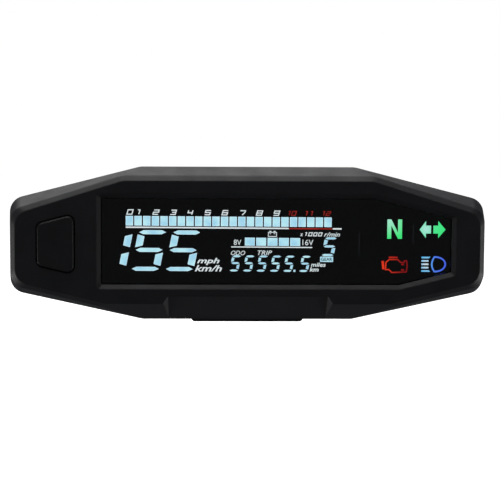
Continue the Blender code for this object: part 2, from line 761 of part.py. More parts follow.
def backlight_leds():
    guide_front, guide_back = stack_depths()['light_guide']
    right = -LCD_LEFT - GAP
    for index in range(4):
        middle = (LCD_TOP - LCD_BOTTOM) / 2 + (index - 1.5) * BACKLIGHT_LED_PITCH
        outline = rectangle(right - BACKLIGHT_LED_DEPTH, right, middle - LED_SIZE / 2,
                            middle + LED_SIZE / 2)
        lamp = prism(f'backlight_led_{index + 1}', outline, guide_front, BOARD_FRONT - GAP)
        paint(lamp, milky_sheet())


# ---------------------------------------------------------------- telltales

def telltale_cells():
    """Left, right, bottom and top of each lamp cell, walls excluded, with the lamp's name."""
    half = CELL_WALL / 2
    left = TELLTALE_LEFT + CELL_WALL
    split = TELLTALE_SPLIT
    arrows = TELLTALE_ARROW_SPLIT
    right = TELLTALE_RIGHT - CELL_WALL
    top = TELLTALE_TOP - CELL_WALL
    middle = TELLTALE_MIDDLE
    bottom = -TELLTALE_BOTTOM + CELL_WALL
    return {
        'led_neutral': (left, split - half, middle + half, top),
        'led_turn_left': (split + half, arrows - half, middle + half, top),
        'led_turn_right': (arrows + half, right, middle + half, top),
        'led_engine': (left, split - half, bottom, middle - half),
        'led_high_beam': (split + half, right, bottom, middle - half),
    }


def telltale_mask():
    front = LENS_BACK + GAP
    outline = rectangle(LCD_RIGHT + GAP, TELLTALE_RIGHT, -TELLTALE_BOTTOM, TELLTALE_TOP)
    return paint(prism('telltale_mask', outline, front, front + MASK_THICKNESS), polarizer_film())


def telltale_light_box():
    front = LENS_BACK + GAP + MASK_THICKNESS + GAP
    outline = rectangle(TELLTALE_LEFT, TELLTALE_RIGHT, -TELLTALE_BOTTOM, TELLTALE_TOP)
    block = prism('telltale_light_box', outline, front, BOARD_FRONT - GAP)
    stacks = []
    for cell in telltale_cells().values():
        hole = rectangle(*cell)
        stacks.append([(front - CUT_PAST, hole), (BOARD_FRONT + CUT_PAST, hole)])
    cut(block, lofts('cell_cutter', stacks))
    return paint(block, chip_black())


def telltale_leds():
    for name, (left, right, bottom, top) in telltale_cells().items():
        x = (left + right) / 2
        z = (bottom + top) / 2
        half = LED_SIZE / 2
        lamp = prism(name, rectangle(x - half, x + half, z - half, z + half),
                     BOARD_FRONT - GAP - LED_HEIGHT, BOARD_FRONT - GAP)
        paint(lamp, milky_sheet())


# ---------------------------------------------------------------- push button

def button_centre():
    tops = BUTTON_OUTER_TOP + BUTTON_INNER_TOP
    bottoms = BUTTON_OUTER_BOTTOM + BUTTON_INNER_BOTTOM
    return (-(BUTTON_LEFT + BUTTON_RIGHT) / 2, (tops - bottoms) / 4)


def seal_front():
    return FRONT_WALL + GAP


def button_flange_front():
    return seal_front() + BUTTON_SEAL_THICKNESS + GAP


def plunger_front():
    return BOARD_FRONT - GAP - SWITCH_HEIGHT - PLUNGER_STAND


def button_cap():
    """Sliding cap; its stem stops short of the switch by the free part of its travel."""
    x, z = button_centre()
    flange_back_depth = button_flange_front() + BUTTON_FLANGE_THICKNESS
    cap = lofts('button_cap', [[(-BUTTON_RAISE, button_outline(-BUTTON_EDGE)),
                                (-BUTTON_RAISE + BUTTON_EDGE, button_outline(0)),
                                (button_flange_front(), button_outline(0)),
                                (button_flange_front(), button_outline(BUTTON_FLANGE)),
                                (flange_back_depth, button_outline(BUTTON_FLANGE))]])
    free_travel = BUTTON_TRAVEL - PLUNGER_TRAVEL + GAP / 2
    stem = cylinders('button_stem', [(x, z)], BUTTON_STEM_RADIUS,
                     flange_back_depth - BUTTON_STEM_ROOT, plunger_front() - free_travel, 16, smooth=False)
    join(cap, stem)
    return paint(cap, black_case())


def button_seal():
    inner = button_outline(GAP)
    outer = button_outline(GAP + BUTTON_SEAL_WIDTH)
    ring = frame_ring('button_seal', outer, inner, seal_front(), seal_front() + BUTTON_SEAL_THICKNESS)
    return paint(ring, silicone())


def switch_body():
    x, z = button_centre()
    half = SWITCH_SIZE / 2
    back = BOARD_FRONT - GAP
    body = prism('switch_body', rectangle(x - half, x + half, z - half, z + half),
                 back - SWITCH_HEIGHT, back)
    bore_back = plunger_front() + PLUNGER_LENGTH + PLUNGER_TRAVEL + GAP
    cut(body, cylinders('switch_bore', [(x, z)], PLUNGER_RADIUS + GAP,
                        back - SWITCH_HEIGHT - CUT_PAST, bore_back, 16, smooth=False))
    return paint(body, chip_black())


def switch_plunger():
    x, z = button_centre()
    plunger = cylinders('switch_plunger', [(x, z)], PLUNGER_RADIUS, plunger_front(),
                        plunger_front() + PLUNGER_LENGTH, 16)
    return paint(plunger, silicone())


def set_pivot(thing, x, z, depth):
    """Moves an object's origin without moving its shape."""
    pivot = Vector((x, depth - TOTAL_DEPTH, z))
    for vertex in thing.data.vertices:
        vertex.co -= pivot
    thing.location = pivot


# ---------------------------------------------------------------- circuit board

def circuit_board():
    moves = [-BOARD_MARGIN] * EDGE_COUNT
    moves[BOTTOM_EDGE] = -CASE_BOTTOM - board_bottom()
    outline = rounded(shifted(parting_corners(), moves), case_radii(BOARD_MARGIN))
    board = prism('circuit_board', outline, BOARD_FRONT, BOARD_BACK)
    notch = CASE_BOSS_RADIUS + 2 * GAP
    cut(board, cylinders('board_notches', case_screw_places(), notch,
                         BOARD_FRONT - CUT_PAST, BOARD_BACK + CUT_PAST, 20, smooth=False))
    cut(board, cylinders('board_holes', board_screw_places(), BOARD_SCREW_RADIUS + GAP,
                         BOARD_FRONT - CUT_PAST, BOARD_BACK + CUT_PAST, 12, smooth=False))
    return paint(board, green_board())


def board_part(name, x, z, width, height, thickness, finish):
    outline = rectangle(x - width / 2, x + width / 2, z - height / 2, z + height / 2)
    front = BOARD_BACK + GAP
    return paint(prism(name, outline, front, front + thickness), finish)


def board_electronics():
    board_part('microcontroller', *MICROCONTROLLER, chip_black())
    board_part('lcd_driver', *LCD_DRIVER, chip_black())
    board_part('voltage_regulator', *VOLTAGE_REGULATOR, chip_black())
    board_part('crystal', *CRYSTAL, steel())
    can = cylinders('filter_capacitor', [(CAPACITOR_X, CAPACITOR_Z)], CAPACITOR_RADIUS,
                    BOARD_BACK + GAP, INNER_BACK - TALL_PART_CLEARANCE)
    paint(can, aluminium_can())


def harness_header():
    """Board socket for the wiring plug, open towards the back."""
    left = INSERT_X + INSERT_RADIUS + GAP + INSERT_BOSS_WALL + GAP
    right = left + HEADER_WIDTH
    bottom = GLAND_Z + HEADER_RISE - HEADER_HEIGHT / 2
    top = bottom + HEADER_HEIGHT
    front = BOARD_BACK + GAP
    back = INNER_BACK - TALL_PART_CLEARANCE
    header = prism('harness_header', rectangle(left, right, bottom, top), front, back)
    socket = rectangle(left + HEADER_WALL, right - HEADER_WALL, bottom + HEADER_WALL, top - HEADER_WALL)
    cut(header, prism('header_socket', socket, front + HEADER_FLOOR, back + CUT_PAST))
    return paint(header, white_plastic())


# ---------------------------------------------------------------- screws

def pan_head_screw(name, x, z, head_radius, head_height, shank_radius, seat, length):
    """A screw driven from behind, with a cross recess; seat is where the head rests."""
    tip = seat - length
    profile = [(shank_radius * 0.35, tip), (shank_radius, tip + shank_radius * 1.4), (shank_radius, seat),
               (head_radius, seat), (head_radius, seat + head_height * 0.45),
               (head_radius * 0.72, seat + head_height * 0.85),
               (head_radius * 0.4, seat + head_height)]
    screw = turned(name, x, z, profile, 16)
    bar = head_radius * 0.55
    slim = head_radius * 0.14
    top = seat + head_height + CUT_PAST
    floor = seat + head_height * 0.35
    upright = rectangle(x - slim, x + slim, z - bar, z + bar)
    level = rectangle(x - bar, x + bar, z - slim, z + slim)
    cut(screw, prism(name + '_slot_a', upright, floor, top))
    cut(screw, prism(name + '_slot_b', level, floor, top))
    return paint(screw, steel())


def case_screws():
    seat = COVER_FRONT + CASE_SCREW_SEAT + GAP
    for index, (x, z) in enumerate(case_screw_places()):
        pan_head_screw(f'case_screw_{index + 1}', x, z, CASE_SCREW_HEAD, CASE_SCREW_HEAD_HEIGHT,
                       CASE_SCREW_RADIUS, seat, CASE_SCREW_LENGTH)


def board_screws():
    seat = BOARD_BACK + GAP
    for index, (x, z) in enumerate(board_screw_places()):
        pan_head_screw(f'board_screw_{index + 1}', x, z, BOARD_SCREW_HEAD, BOARD_SCREW_HEAD_HEIGHT,
                       BOARD_SCREW_RADIUS, seat, BOARD_SCREW_LENGTH)


# ---------------------------------------------------------------- rear cover

def block_outline(inset=0.0):
    corners = [(-BLOCK_HALF_WIDTH, BLOCK_TOP), (BLOCK_HALF_WIDTH, BLOCK_TOP),
               (BLOCK_HALF_WIDTH, -CASE_BOTTOM - BLOCK_BELOW),
               (-BLOCK_HALF_WIDTH, -CASE_BOTTOM - BLOCK_BELOW)]
    radius = BLOCK_CHAMFER
    return rounded(grown(corners, -inset), [radius] * 4, steps=3)


def insert_places():
    return [(-INSERT_X, 0.0), (INSERT_X, 0.0)]


def rear_cover():
    corners = parting_corners()
    outer = [(COVER_FRONT, case_outline(corners)),
             (COVER_FRONT + COVER_STRAIGHT, case_outline(corners, COVER_LIP)),
             (COVER_BACK - COVER_EDGE, case_outline(corners, COVER_TAPER - COVER_EDGE)),
             (COVER_BACK, case_outline(corners, COVER_TAPER))]
    cover = lofts('rear_cover', [outer])
    join(cover, lofts('mount_block', [[(COVER_FRONT, block_outline()),
                                       (TOTAL_DEPTH - BLOCK_EDGE, block_outline()),
                                       (TOTAL_DEPTH, block_outline(BLOCK_EDGE))]]))
    rim_back = COVER_FRONT + RIM_HEIGHT
    rim = case_outline(corners, RIM_WIDTH)
    hollow_back = case_outline(corners, COVER_TAPER + COVER_SIDE_WALL)
    cut(cover, lofts('cover_hollow', [[(COVER_FRONT - CUT_PAST, rim), (rim_back, rim),
                                       (INNER_BACK, hollow_back)]]))
    block_hollow = rounded(grown(rectangle(-BLOCK_HALF_WIDTH, BLOCK_HALF_WIDTH,
                                           -CASE_BOTTOM + RIM_WIDTH, BLOCK_TOP), -BLOCK_WALL),
                           [BLOCK_CHAMFER] * 4, steps=3)
    cut(cover, prism('block_hollow', block_hollow, COVER_FRONT + CUT_PAST, TOTAL_DEPTH - BLOCK_WALL))

    tube = CASE_SCREW_HEAD + GAP + COVER_BOSS_WALL
    tube_front = max(COVER_FRONT, BOARD_BACK + GAP)
    join(cover, cylinders('cover_bosses', case_screw_places(), tube, tube_front, INNER_BACK + CUT_PAST,
                          smooth=False))
    insert_front = TOTAL_DEPTH - GAP - INSERT_LENGTH
    join(cover, cylinders('insert_bosses', insert_places(), INSERT_RADIUS + GAP + INSERT_BOSS_WALL,
                          insert_front - INSERT_BOSS_FLOOR, TOTAL_DEPTH - CUT_PAST, smooth=False))

    cut(cover, cylinders('screw_clearance', case_screw_places(), CASE_SCREW_RADIUS + GAP,
                         COVER_FRONT - CUT_PAST, COVER_BACK, 12, smooth=False))
    cut(cover, cylinders('screw_counterbores', case_screw_places(), CASE_SCREW_HEAD + GAP,
                         COVER_FRONT + CASE_SCREW_SEAT, COVER_BACK + CUT_PAST, 16, smooth=False))
    cut(cover, cylinders('insert_holes', insert_places(), INSERT_RADIUS + GAP,
                         insert_front - GAP, TOTAL_DEPTH + CUT_PAST, smooth=False))
    seal_groove = SEAL_INSET - GAP
    grooved = frame_ring('seal_groove', case_outline(corners, seal_groove),
                         case_outline(corners, SEAL_INSET + SEAL_WIDTH + GAP),
                         COVER_FRONT - CUT_PAST, COVER_FRONT + SEAL_HEIGHT + GAP)
    cut(cover, grooved)
    cut(cover, cylinders('gland_hole', [(GLAND_X, GLAND_Z)], GLAND_NECK + GAP,
                         INNER_BACK - CUT_PAST, COVER_BACK + CUT_PAST, smooth=False))
    cut(cover, cylinders('vent_hole', [(VENT_X, VENT_Z)], VENT_RADIUS + GAP,
                         INNER_BACK - CUT_PAST, COVER_BACK + CUT_PAST, smooth=False))
    return paint(cover, black_case())


def case_seal():
    corners = parting_corners()
    ring = frame_ring('case_seal', case_outline(corners, SEAL_INSET),
                      case_outline(corners, SEAL_INSET + SEAL_WIDTH),
                      COVER_FRONT, COVER_FRONT + SEAL_HEIGHT)
    return paint(ring, rubber())


def mount_inserts():
    front = TOTAL_DEPTH - GAP - INSERT_LENGTH
    for side, (x, z) in zip(('left', 'right'), insert_places()):
        insert = cylinders(f'mount_insert_{side}', [(x, z)], INSERT_RADIUS, front, TOTAL_DEPTH - GAP, 24)
        cut(insert, cylinders(f'thread_bore_{side}', [(x, z)], INSERT_BORE, front + INSERT_FLOOR,
                              TOTAL_DEPTH + CUT_PAST, 24, smooth=False))
        paint(insert, brass())


def cable_gland():
    """Rubber bush for the wiring harness, with flanges inside and outside the back wall."""
    x, z = GLAND_X, GLAND_Z
    lip_back = INNER_BACK - GAP
    profile = [(GLAND_NECK + GLAND_LIP, lip_back - GLAND_LIP_THICKNESS),
               (GLAND_NECK + GLAND_LIP, lip_back),
               (GLAND_NECK, lip_back),
               (GLAND_NECK, COVER_BACK + GAP),
               (GLAND_FLANGE, COVER_BACK + GAP),
               (GLAND_FLANGE, COVER_BACK + GAP + GLAND_FLANGE_THICKNESS),
               (GLAND_TIP + GLAND_SLEEVE_FLARE, COVER_BACK + GAP + GLAND_FLANGE_THICKNESS),
               (GLAND_TIP, COVER_BACK + GLAND_STAND)]
    gland = turned('cable_gland', x, z, profile, 20)
    cut(gland, cylinders('gland_bore', [(x, z)], GLAND_BORE,
                         lip_back - GLAND_LIP_THICKNESS - CUT_PAST,
                         COVER_BACK + GLAND_STAND + CUT_PAST, 20, smooth=False))
    return paint(gland, rubber())


def vent_plug():
    tip = INNER_BACK + VENT_TIP_INSET
    seat = COVER_BACK + GAP
    profile = [(VENT_RADIUS * VENT_TIP, tip), (VENT_RADIUS, tip + VENT_TIP_LENGTH),
               (VENT_RADIUS, seat), (VENT_HEAD, seat), (VENT_HEAD, seat + VENT_HEAD_SIDE),
               (VENT_HEAD * VENT_HEAD_TOP, seat + VENT_HEAD_HEIGHT)]
    return paint(turned('vent_plug', VENT_X, VENT_Z, profile, 20), chip_black())


# ---------------------------------------------------------------- assembly

def build():
    for thing in list(bpy.data.objects):
        bpy.data.objects.remove(thing, do_unlink=True)
    front_case()
    window_lens()
    lens_gasket()
    lcd_sheets()
    display_tray()
    zebra_strip()
    backlight_leds()
    telltale_mask()
    telltale_light_box()
    telltale_leds()
    x, z = button_centre()
    button_cap()
    button_seal()
    switch_body()
    set_pivot(switch_plunger(), x, z, plunger_front())
    circuit_board()
    board_electronics()
    harness_header()
    board_screws()
    case_seal()
    rear_cover()
    case_screws()
    mount_inserts()
    cable_gland()
    vent_plug()


build()
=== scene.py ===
import math

import bmesh
import bpy
from mathutils import Matrix, Vector


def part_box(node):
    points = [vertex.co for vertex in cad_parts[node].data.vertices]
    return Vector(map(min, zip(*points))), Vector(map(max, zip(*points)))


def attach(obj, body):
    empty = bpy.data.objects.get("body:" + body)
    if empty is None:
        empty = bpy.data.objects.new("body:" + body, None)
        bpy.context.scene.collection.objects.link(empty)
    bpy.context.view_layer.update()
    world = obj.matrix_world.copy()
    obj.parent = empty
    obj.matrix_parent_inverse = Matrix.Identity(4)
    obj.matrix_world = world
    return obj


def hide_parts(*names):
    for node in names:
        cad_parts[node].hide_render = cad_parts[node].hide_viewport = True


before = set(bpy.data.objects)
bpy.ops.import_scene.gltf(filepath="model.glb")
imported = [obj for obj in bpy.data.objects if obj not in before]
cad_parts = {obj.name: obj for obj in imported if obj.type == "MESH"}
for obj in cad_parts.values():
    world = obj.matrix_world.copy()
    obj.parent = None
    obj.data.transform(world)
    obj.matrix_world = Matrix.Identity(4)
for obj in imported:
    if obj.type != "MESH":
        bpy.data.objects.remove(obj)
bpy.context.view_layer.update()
mm = 0.001


def nodeBox(node):
    low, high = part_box(node)
    return low / mm, high / mm


caseLow, caseHigh = nodeBox('front_case')
coverLow, coverHigh = nodeBox('rear_cover')
faceY = caseLow.y  # every depth below is measured back from this face


# ---- camera, floor and lights, set first

view = {
    'turn': -1.52,  # degrees to the left of straight ahead
    'rise': 4.93,
    'distance': 600.26,
    'roll': 0.27,
    'lens': 108.33,
    'shiftX': 0.00336,
    'shiftY': -0.0095,
}


def makeCamera():
    turn = math.radians(view['turn'])
    rise = math.radians(view['rise'])
    roll = math.radians(view['roll'])
    away = Vector((math.sin(turn) * math.cos(rise), -math.cos(turn) * math.cos(rise), math.sin(rise)))
    right = (-away).cross(Vector((0, 0, 1))).normalized()
    up = right.cross(-away)
    tiltedRight = right * math.cos(roll) + up * math.sin(roll)
    tiltedUp = up * math.cos(roll) - right * math.sin(roll)
    data = bpy.data.cameras.new('camera')
    data.sensor_width = 36
    data.lens = view['lens']
    data.shift_x = view['shiftX']
    data.shift_y = view['shiftY']
    camera = bpy.data.objects.new('camera', data)
    bpy.context.scene.collection.objects.link(camera)
    turned = Matrix((tiltedRight, tiltedUp, away)).transposed().to_4x4()
    target = Vector((0, faceY * mm, 0))
    camera.matrix_world = Matrix.Translation(target + away * view['distance'] * mm) @ turned
    bpy.context.scene.camera = camera


def srgb(code):
    parts = [int(code[index:index + 2], 16) / 255 for index in (1, 3, 5)]
    linear = [value / 12.92 if value <= 0.04045 else ((value + 0.055) / 1.055) ** 2.4 for value in parts]
    return (*linear, 1.0)


def addNode(tree, kind, settings=None, inputs=None):
    node = tree.nodes.new(kind)
    for name, value in (settings or {}).items():
        setattr(node, name, value)
    for name, value in (inputs or {}).items():
        if isinstance(value, bpy.types.NodeSocket):
            tree.links.new(value, node.inputs[name])
        else:
            node.inputs[name].default_value = value
    return node


def newMaterial(name):
    material = bpy.data.materials.new(name)
    material.use_nodes = True
    tree = material.node_tree
    return material, tree, tree.nodes['Principled BSDF']


studio = {
    'floorDrop': 140,  # mm below the mounting face's centre
    'floorSize': 8,
    'ambient': 0.085,
    'overheadPower': 8.1,
    'overheadSize': 1.5,
    'backPower': 3.7,
    'backSize': 1.2,
    'frontPower': 0.38,
    'frontSize': 0.8,
    'lowPower': 4.6,
    'lowSize': 0.7,
}


def softbox(name, place, target, size, power):
    data = bpy.data.lights.new(name, 'AREA')
    data.shape = 'RECTANGLE'
    data.size = size
    data.size_y = size * 0.6
    data.energy = power
    lamp = bpy.data.objects.new(name, data)
    bpy.context.scene.collection.objects.link(lamp)
    lamp.location = place
    lamp.rotation_euler = (Vector(target) - Vector(place)).to_track_quat('-Z', 'Y').to_euler()
    lamp.visible_camera = False
    return lamp


def makeStudio():
    bpy.context.scene.view_settings.view_transform = 'Standard'
    world = bpy.data.worlds.new('studio')
    world.use_nodes = True
    tree = world.node_tree
    tree.nodes.clear()
    rays = addNode(tree, 'ShaderNodeLightPath')
    dim = addNode(tree, 'ShaderNodeBackground',
                  inputs={'Color': srgb('#F2F5FA'), 'Strength': studio['ambient']})
    bright = addNode(tree, 'ShaderNodeBackground', inputs={'Color': (1, 1, 1, 1), 'Strength': 1.0})
    mixed = addNode(tree, 'ShaderNodeMixShader', inputs={0: rays.outputs['Is Camera Ray']})
    tree.links.new(dim.outputs[0], mixed.inputs[1])
    tree.links.new(bright.outputs[0], mixed.inputs[2])
    addNode(tree, 'ShaderNodeOutputWorld', inputs={'Surface': mixed.outputs[0]})
    bpy.context.scene.world = world

    half = studio['floorSize'] / 2
    drop = -studio['floorDrop'] * mm
    mesh = bpy.data.meshes.new('floor')
    mesh.from_pydata([(-half, -half, drop), (half, -half, drop), (half, half, drop), (-half, half, drop)],
                     [], [(0, 1, 2, 3)])
    floor = bpy.data.objects.new('floor', mesh)
    bpy.context.scene.collection.objects.link(floor)
    material, tree, shader = newMaterial('paleStudioFloor')
    shader.inputs['Base Color'].default_value = srgb('#F6F6F6')
    shader.inputs['Roughness'].default_value = 0.8
    shader.inputs['Emission Color'].default_value = (1, 1, 1, 1)
    shader.inputs['Emission Strength'].default_value = 1.0
    mesh.materials.append(material)
    floor.visible_diffuse = False
    floor.visible_glossy = False
    floor.visible_transmission = False
    floor.visible_shadow = False  # the low side lights shine from under it

    for name, place in (('overhead', (-0.12, -0.02, 1.1)), ('back', (-0.15, 1.15, 0.85)),
                        ('front', (-0.5, -1.0, 0.9))):
        softbox(name + 'Softbox', place, (0, 0, 0), studio[name + 'Size'], studio[name + 'Power'])
    for side in (-1, 1):
        softbox('lowSoftbox', (side * 1.1, 0.05, -0.42), (side * 0.08, 0, -0.02), studio['lowSize'],
                studio['lowPower'])


makeCamera()
makeStudio()
print('camera, floor and lights')


# ---- finishes

def objectCoords(tree):
    return addNode(tree, 'ShaderNodeTexCoord').outputs['Object']


def noiseAt(tree, spacing, detail=3.0, coords=None):
    # spacing is the real size of the grain in millimetres
    return addNode(tree, 'ShaderNodeTexNoise',
                   inputs={'Vector': coords or objectCoords(tree), 'Scale': 1 / (spacing * mm),
                           'Detail': detail})


def mixColours(tree, share, first, second):
    node = addNode(tree, 'ShaderNodeMix', {'data_type': 'RGBA'})
    for socket, value in ((node.inputs[0], share), (node.inputs[6], first), (node.inputs[7], second)):
        if isinstance(value, bpy.types.NodeSocket):
            tree.links.new(value, socket)
        else:
            socket.default_value = value
    return node.outputs[2]


def spread(tree, value, low, high, fromLow=0.3, fromHigh=0.7):
    return addNode(tree, 'ShaderNodeMapRange',
                   inputs={'Value': value, 'From Min': fromLow, 'From Max': fromHigh, 'To Min': low,
                           'To Max': high}).outputs[0]


def grainedFinish(name, colours, rough, grain, relief, metallic=0.0, patch=9.0):
    # base shared by most of the finishes: a fine grain over broad, faint patches
    material, tree, shader = newMaterial(name)
    coords = objectCoords(tree)
    fine = noiseAt(tree, grain, 4.0, coords)
    broad = noiseAt(tree, patch, 2.0, coords)
    share = spread(tree, broad.outputs[0], 0.0, 1.0)
    tree.links.new(mixColours(tree, share, srgb(colours[0]), srgb(colours[1])), shader.inputs['Base Color'])
    both = addNode(tree, 'ShaderNodeMath', {'operation': 'ADD'},
                   {0: fine.outputs[0], 1: broad.outputs[0]}).outputs[0]
    tree.links.new(spread(tree, both, rough[0], rough[1], 0.7, 1.3), shader.inputs['Roughness'])
    bump = addNode(tree, 'ShaderNodeBump', inputs={'Height': fine.outputs[0], 'Strength': 1.0,
                                                   'Distance': relief * mm})
    tree.links.new(bump.outputs[0], shader.inputs['Normal'])
    shader.inputs['Metallic'].default_value = metallic
    return material


absIor = 1.53


def blackAbs():
    # injection-moulded black ABS from a spark-eroded tool: a dry, even micro grain, softly grey where it
    # catches light; the 0.12 mm grain is drawn at 0.35 mm so that it shows
    material = grainedFinish('mouldedBlackAbs', ('#17171B', '#1C1C21'), (0.46, 0.6), 0.35, 0.02)
    material.node_tree.nodes['Principled BSDF'].inputs['IOR'].default_value = absIor
    return material


def buttonAbs():
    # the same ABS from a finer, slightly polished tool
    material = grainedFinish('mouldedButtonAbs', ('#141417', '#19191D'), (0.38, 0.5), 0.3, 0.012)
    material.node_tree.nodes['Principled BSDF'].inputs['IOR'].default_value = absIor
    return material


def smokedAcrylic():
    # cast PMMA dyed smoke grey and hard coated: glossy, with faint flow waviness
    material, tree, shader = newMaterial('castSmokedPmma')
    shader.inputs['Base Color'].default_value = srgb('#9C9C9E')
    shader.inputs['IOR'].default_value = 1.49
    shader.inputs['Transmission Weight'].default_value = 1.0
    waves = noiseAt(tree, 26.0, 1.0)
    smudge = noiseAt(tree, 6.0, 4.0)
    tree.links.new(spread(tree, smudge.outputs[0], 0.0, 0.035), shader.inputs['Roughness'])
    bump = addNode(tree, 'ShaderNodeBump', inputs={'Height': waves.outputs[0], 'Strength': 1.0,
                                                   'Distance': 0.01 * mm})
    tree.links.new(bump.outputs[0], shader.inputs['Normal'])
    return material


def litFilm(name, edgeColour, middleColour, power):
    # liquid crystal cell with the backlight behind it: bluish in the middle, paler along its edge,
    # and slightly uneven from cell to cell as the backlight is
    material, tree, shader = newMaterial(name)
    edge = addNode(tree, 'ShaderNodeAttribute', {'attribute_name': 'edge'})
    coords = objectCoords(tree)
    patches = noiseAt(tree, 5.0, 1.0, coords)
    middle = mixColours(tree, spread(tree, patches.outputs[0], 0.0, 1.0, 0.35, 0.65),
                        srgb(middleColour[0]), srgb(middleColour[1]))
    colour = mixColours(tree, edge.outputs['Fac'], middle, srgb(edgeColour))
    tree.links.new(colour, shader.inputs['Emission Color'])
    shader.inputs['Emission Strength'].default_value = power
    shader.inputs['Base Color'].default_value = srgb('#202428')
    shader.inputs['Roughness'].default_value = 0.4
    return material


def lampFilm(name, near, far, place, reach, power):
    # printed colour filter with one lamp behind it: brightest beside the lamp, deeper further off
    material, tree, shader = newMaterial(name)
    moved = addNode(tree, 'ShaderNodeMapping',
                    inputs={'Vector': objectCoords(tree), 'Location': (-place[0] * mm, 0, -place[1] * mm)})
    flat = addNode(tree, 'ShaderNodeVectorMath', {'operation': 'MULTIPLY'},
                   {0: moved.outputs[0], 1: (1, 0, 1)})
    away = addNode(tree, 'ShaderNodeVectorMath', {'operation': 'LENGTH'}, {0: flat.outputs[0]})
    share = spread(tree, away.outputs['Value'], 0.0, 1.0, 0.0, reach * mm)
    tree.links.new(mixColours(tree, share, srgb(near), srgb(far)), shader.inputs['Emission Color'])
    shader.inputs['Emission Strength'].default_value = power
    shader.inputs['Base Color'].default_value = srgb('#101214')
    shader.inputs['Roughness'].default_value = 0.4
    return material


lamps = {
    'crystalPower': 3.1,
    'legendPower': 2.6,
    'redPower': 1.7,
    'signPower': 2.5,
}

blackCase = blackAbs()
blackButton = buttonAbs()
smokedLens = smokedAcrylic()
litCrystal = litFilm('litLiquidCrystal', '#D4F4FF', ('#9FD4EA', '#BCEDF2'), lamps['crystalPower'])
litLegend = litFilm('litWhiteLegend', '#F0FAFA', ('#E6F4F4', '#F2FAFA'), lamps['legendPower'])
litRed = litFilm('litRedLegend', '#D03028', ('#B82820', '#D83A30'), lamps['redPower'])
darkLegend = grainedFinish('printedBlackInk', ('#15191C', '#1B2024'), (0.4, 0.5), 0.5, 0.002)

# peroxide-cured EPDM: matt, with talc-grey bloom in patches
epdmRubber = grainedFinish('mouldedEpdmRubber', ('#131314', '#1E1E1F'), (0.66, 0.86), 0.4, 0.015)
# translucent silicone, slightly oily
siliconeRubber = grainedFinish('mouldedSiliconeRubber', ('#565658', '#6C6C6E'), (0.5, 0.66), 0.5, 0.01)
# iodine-dyed PVA film between acetate sheets: near black, satin, perfectly flat
polarizerFilm = grainedFinish('laminatedPolarizerFilm', ('#08080A', '#0B0B0E'), (0.3, 0.38), 1.5, 0.0005)
# float glass with an indium tin oxide coat: dark grey over the mask
coatedGlass = grainedFinish('coatedSodaLimeGlass', ('#3C4246', '#474D52'), (0.05, 0.1), 2.0, 0.0003)
# bead-coated PET: bright, milky, scattering
diffuserSheet = grainedFinish('beadedPetDiffuser', ('#E6EAEC', '#F2F4F5'), (0.55, 0.7), 0.3, 0.01)
# extruded PMMA with polished edges
clearGuide = grainedFinish('extrudedClearPmma', ('#C8D4D8', '#DCE6E8'), (0.08, 0.14), 1.2, 0.001)
# white titanium-filled ABS: matt inside reflector
whiteTray = grainedFinish('mouldedWhiteAbs', ('#DEDED8', '#ECECE8'), (0.45, 0.56), 0.4, 0.01)
# phosphor-filled epoxy over a blue chip: yellowish and granular
phosphorLamp = grainedFinish('castPhosphorEpoxy', ('#E4D890', '#F0E8B8'), (0.3, 0.45), 0.25, 0.015, patch=1.5)
# glass-filled epoxy moulding compound: dull black with pale flecks
epoxyPackage = grainedFinish('mouldedEpoxyPackage', ('#1A1A1C', '#29292B'), (0.55, 0.7), 0.2, 0.012,
                             patch=2.0)
# zinc-plated, clear-passivated steel: bluish and slightly cloudy
zincSteel = grainedFinish('zincPlatedSteel', ('#A6ACB4', '#C4C8CE'), (0.26, 0.42), 0.5, 0.004, 1.0, 2.0)
# free-cutting brass, turned
turnedBrass = grainedFinish('turnedBrass', ('#B8934E', '#CFAE68'), (0.24, 0.38), 0.3, 0.006, 1.0, 3.0)
# impact-extruded aluminium can, slightly satin
drawnAluminium = grainedFinish('drawnAluminiumCan', ('#B8BABD', '#CDCFD2'), (0.28, 0.4), 0.4, 0.004, 1.0, 3.0)
# acetal vent body: waxy satin black
acetalVent = grainedFinish('mouldedAcetal', ('#1D1D1F', '#27272A'), (0.36, 0.48), 0.5, 0.008, patch=2.0)


def solderMask():
    # glass-epoxy laminate under green solder mask: copper lanes show as paler raised bands
    material, tree, shader = newMaterial('greenSolderMask')
    coords = objectCoords(tree)
    bent = noiseAt(tree, 9.0, 0.0, coords)
    lanes = addNode(tree, 'ShaderNodeTexBrick', {'offset': 0.37, 'squash': 1.0},
                    {'Vector': addNode(tree, 'ShaderNodeVectorMath', {'operation': 'ADD'},
                                       {0: coords, 1: addNode(tree, 'ShaderNodeVectorMath',
                                                              {'operation': 'SCALE'},
                                                              {0: bent.outputs[1],
                                                               'Scale': 0.002}).outputs[0]}).outputs[0],
                     'Color1': srgb('#0F5A34'), 'Color2': srgb('#0C4A2B'), 'Mortar': srgb('#2C8C5A'),
                     'Scale': 1.0, 'Mortar Size': 0.00014, 'Brick Width': 0.0062, 'Row Height': 0.0013})
    tree.links.new(lanes.outputs['Color'], shader.inputs['Base Color'])
    bump = addNode(tree, 'ShaderNodeBump', inputs={'Height': lanes.outputs['Fac'], 'Strength': 0.6,
                                                   'Distance': 0.03 * mm})
    tree.links.new(bump.outputs[0], shader.inputs['Normal'])
    shader.inputs['Roughness'].default_value = 0.3
    return material


greenBoard = solderMask()
print('finishes')


# ---- outlines: corners run clockwise from the upper left, seen from the rider's side, in millimetres

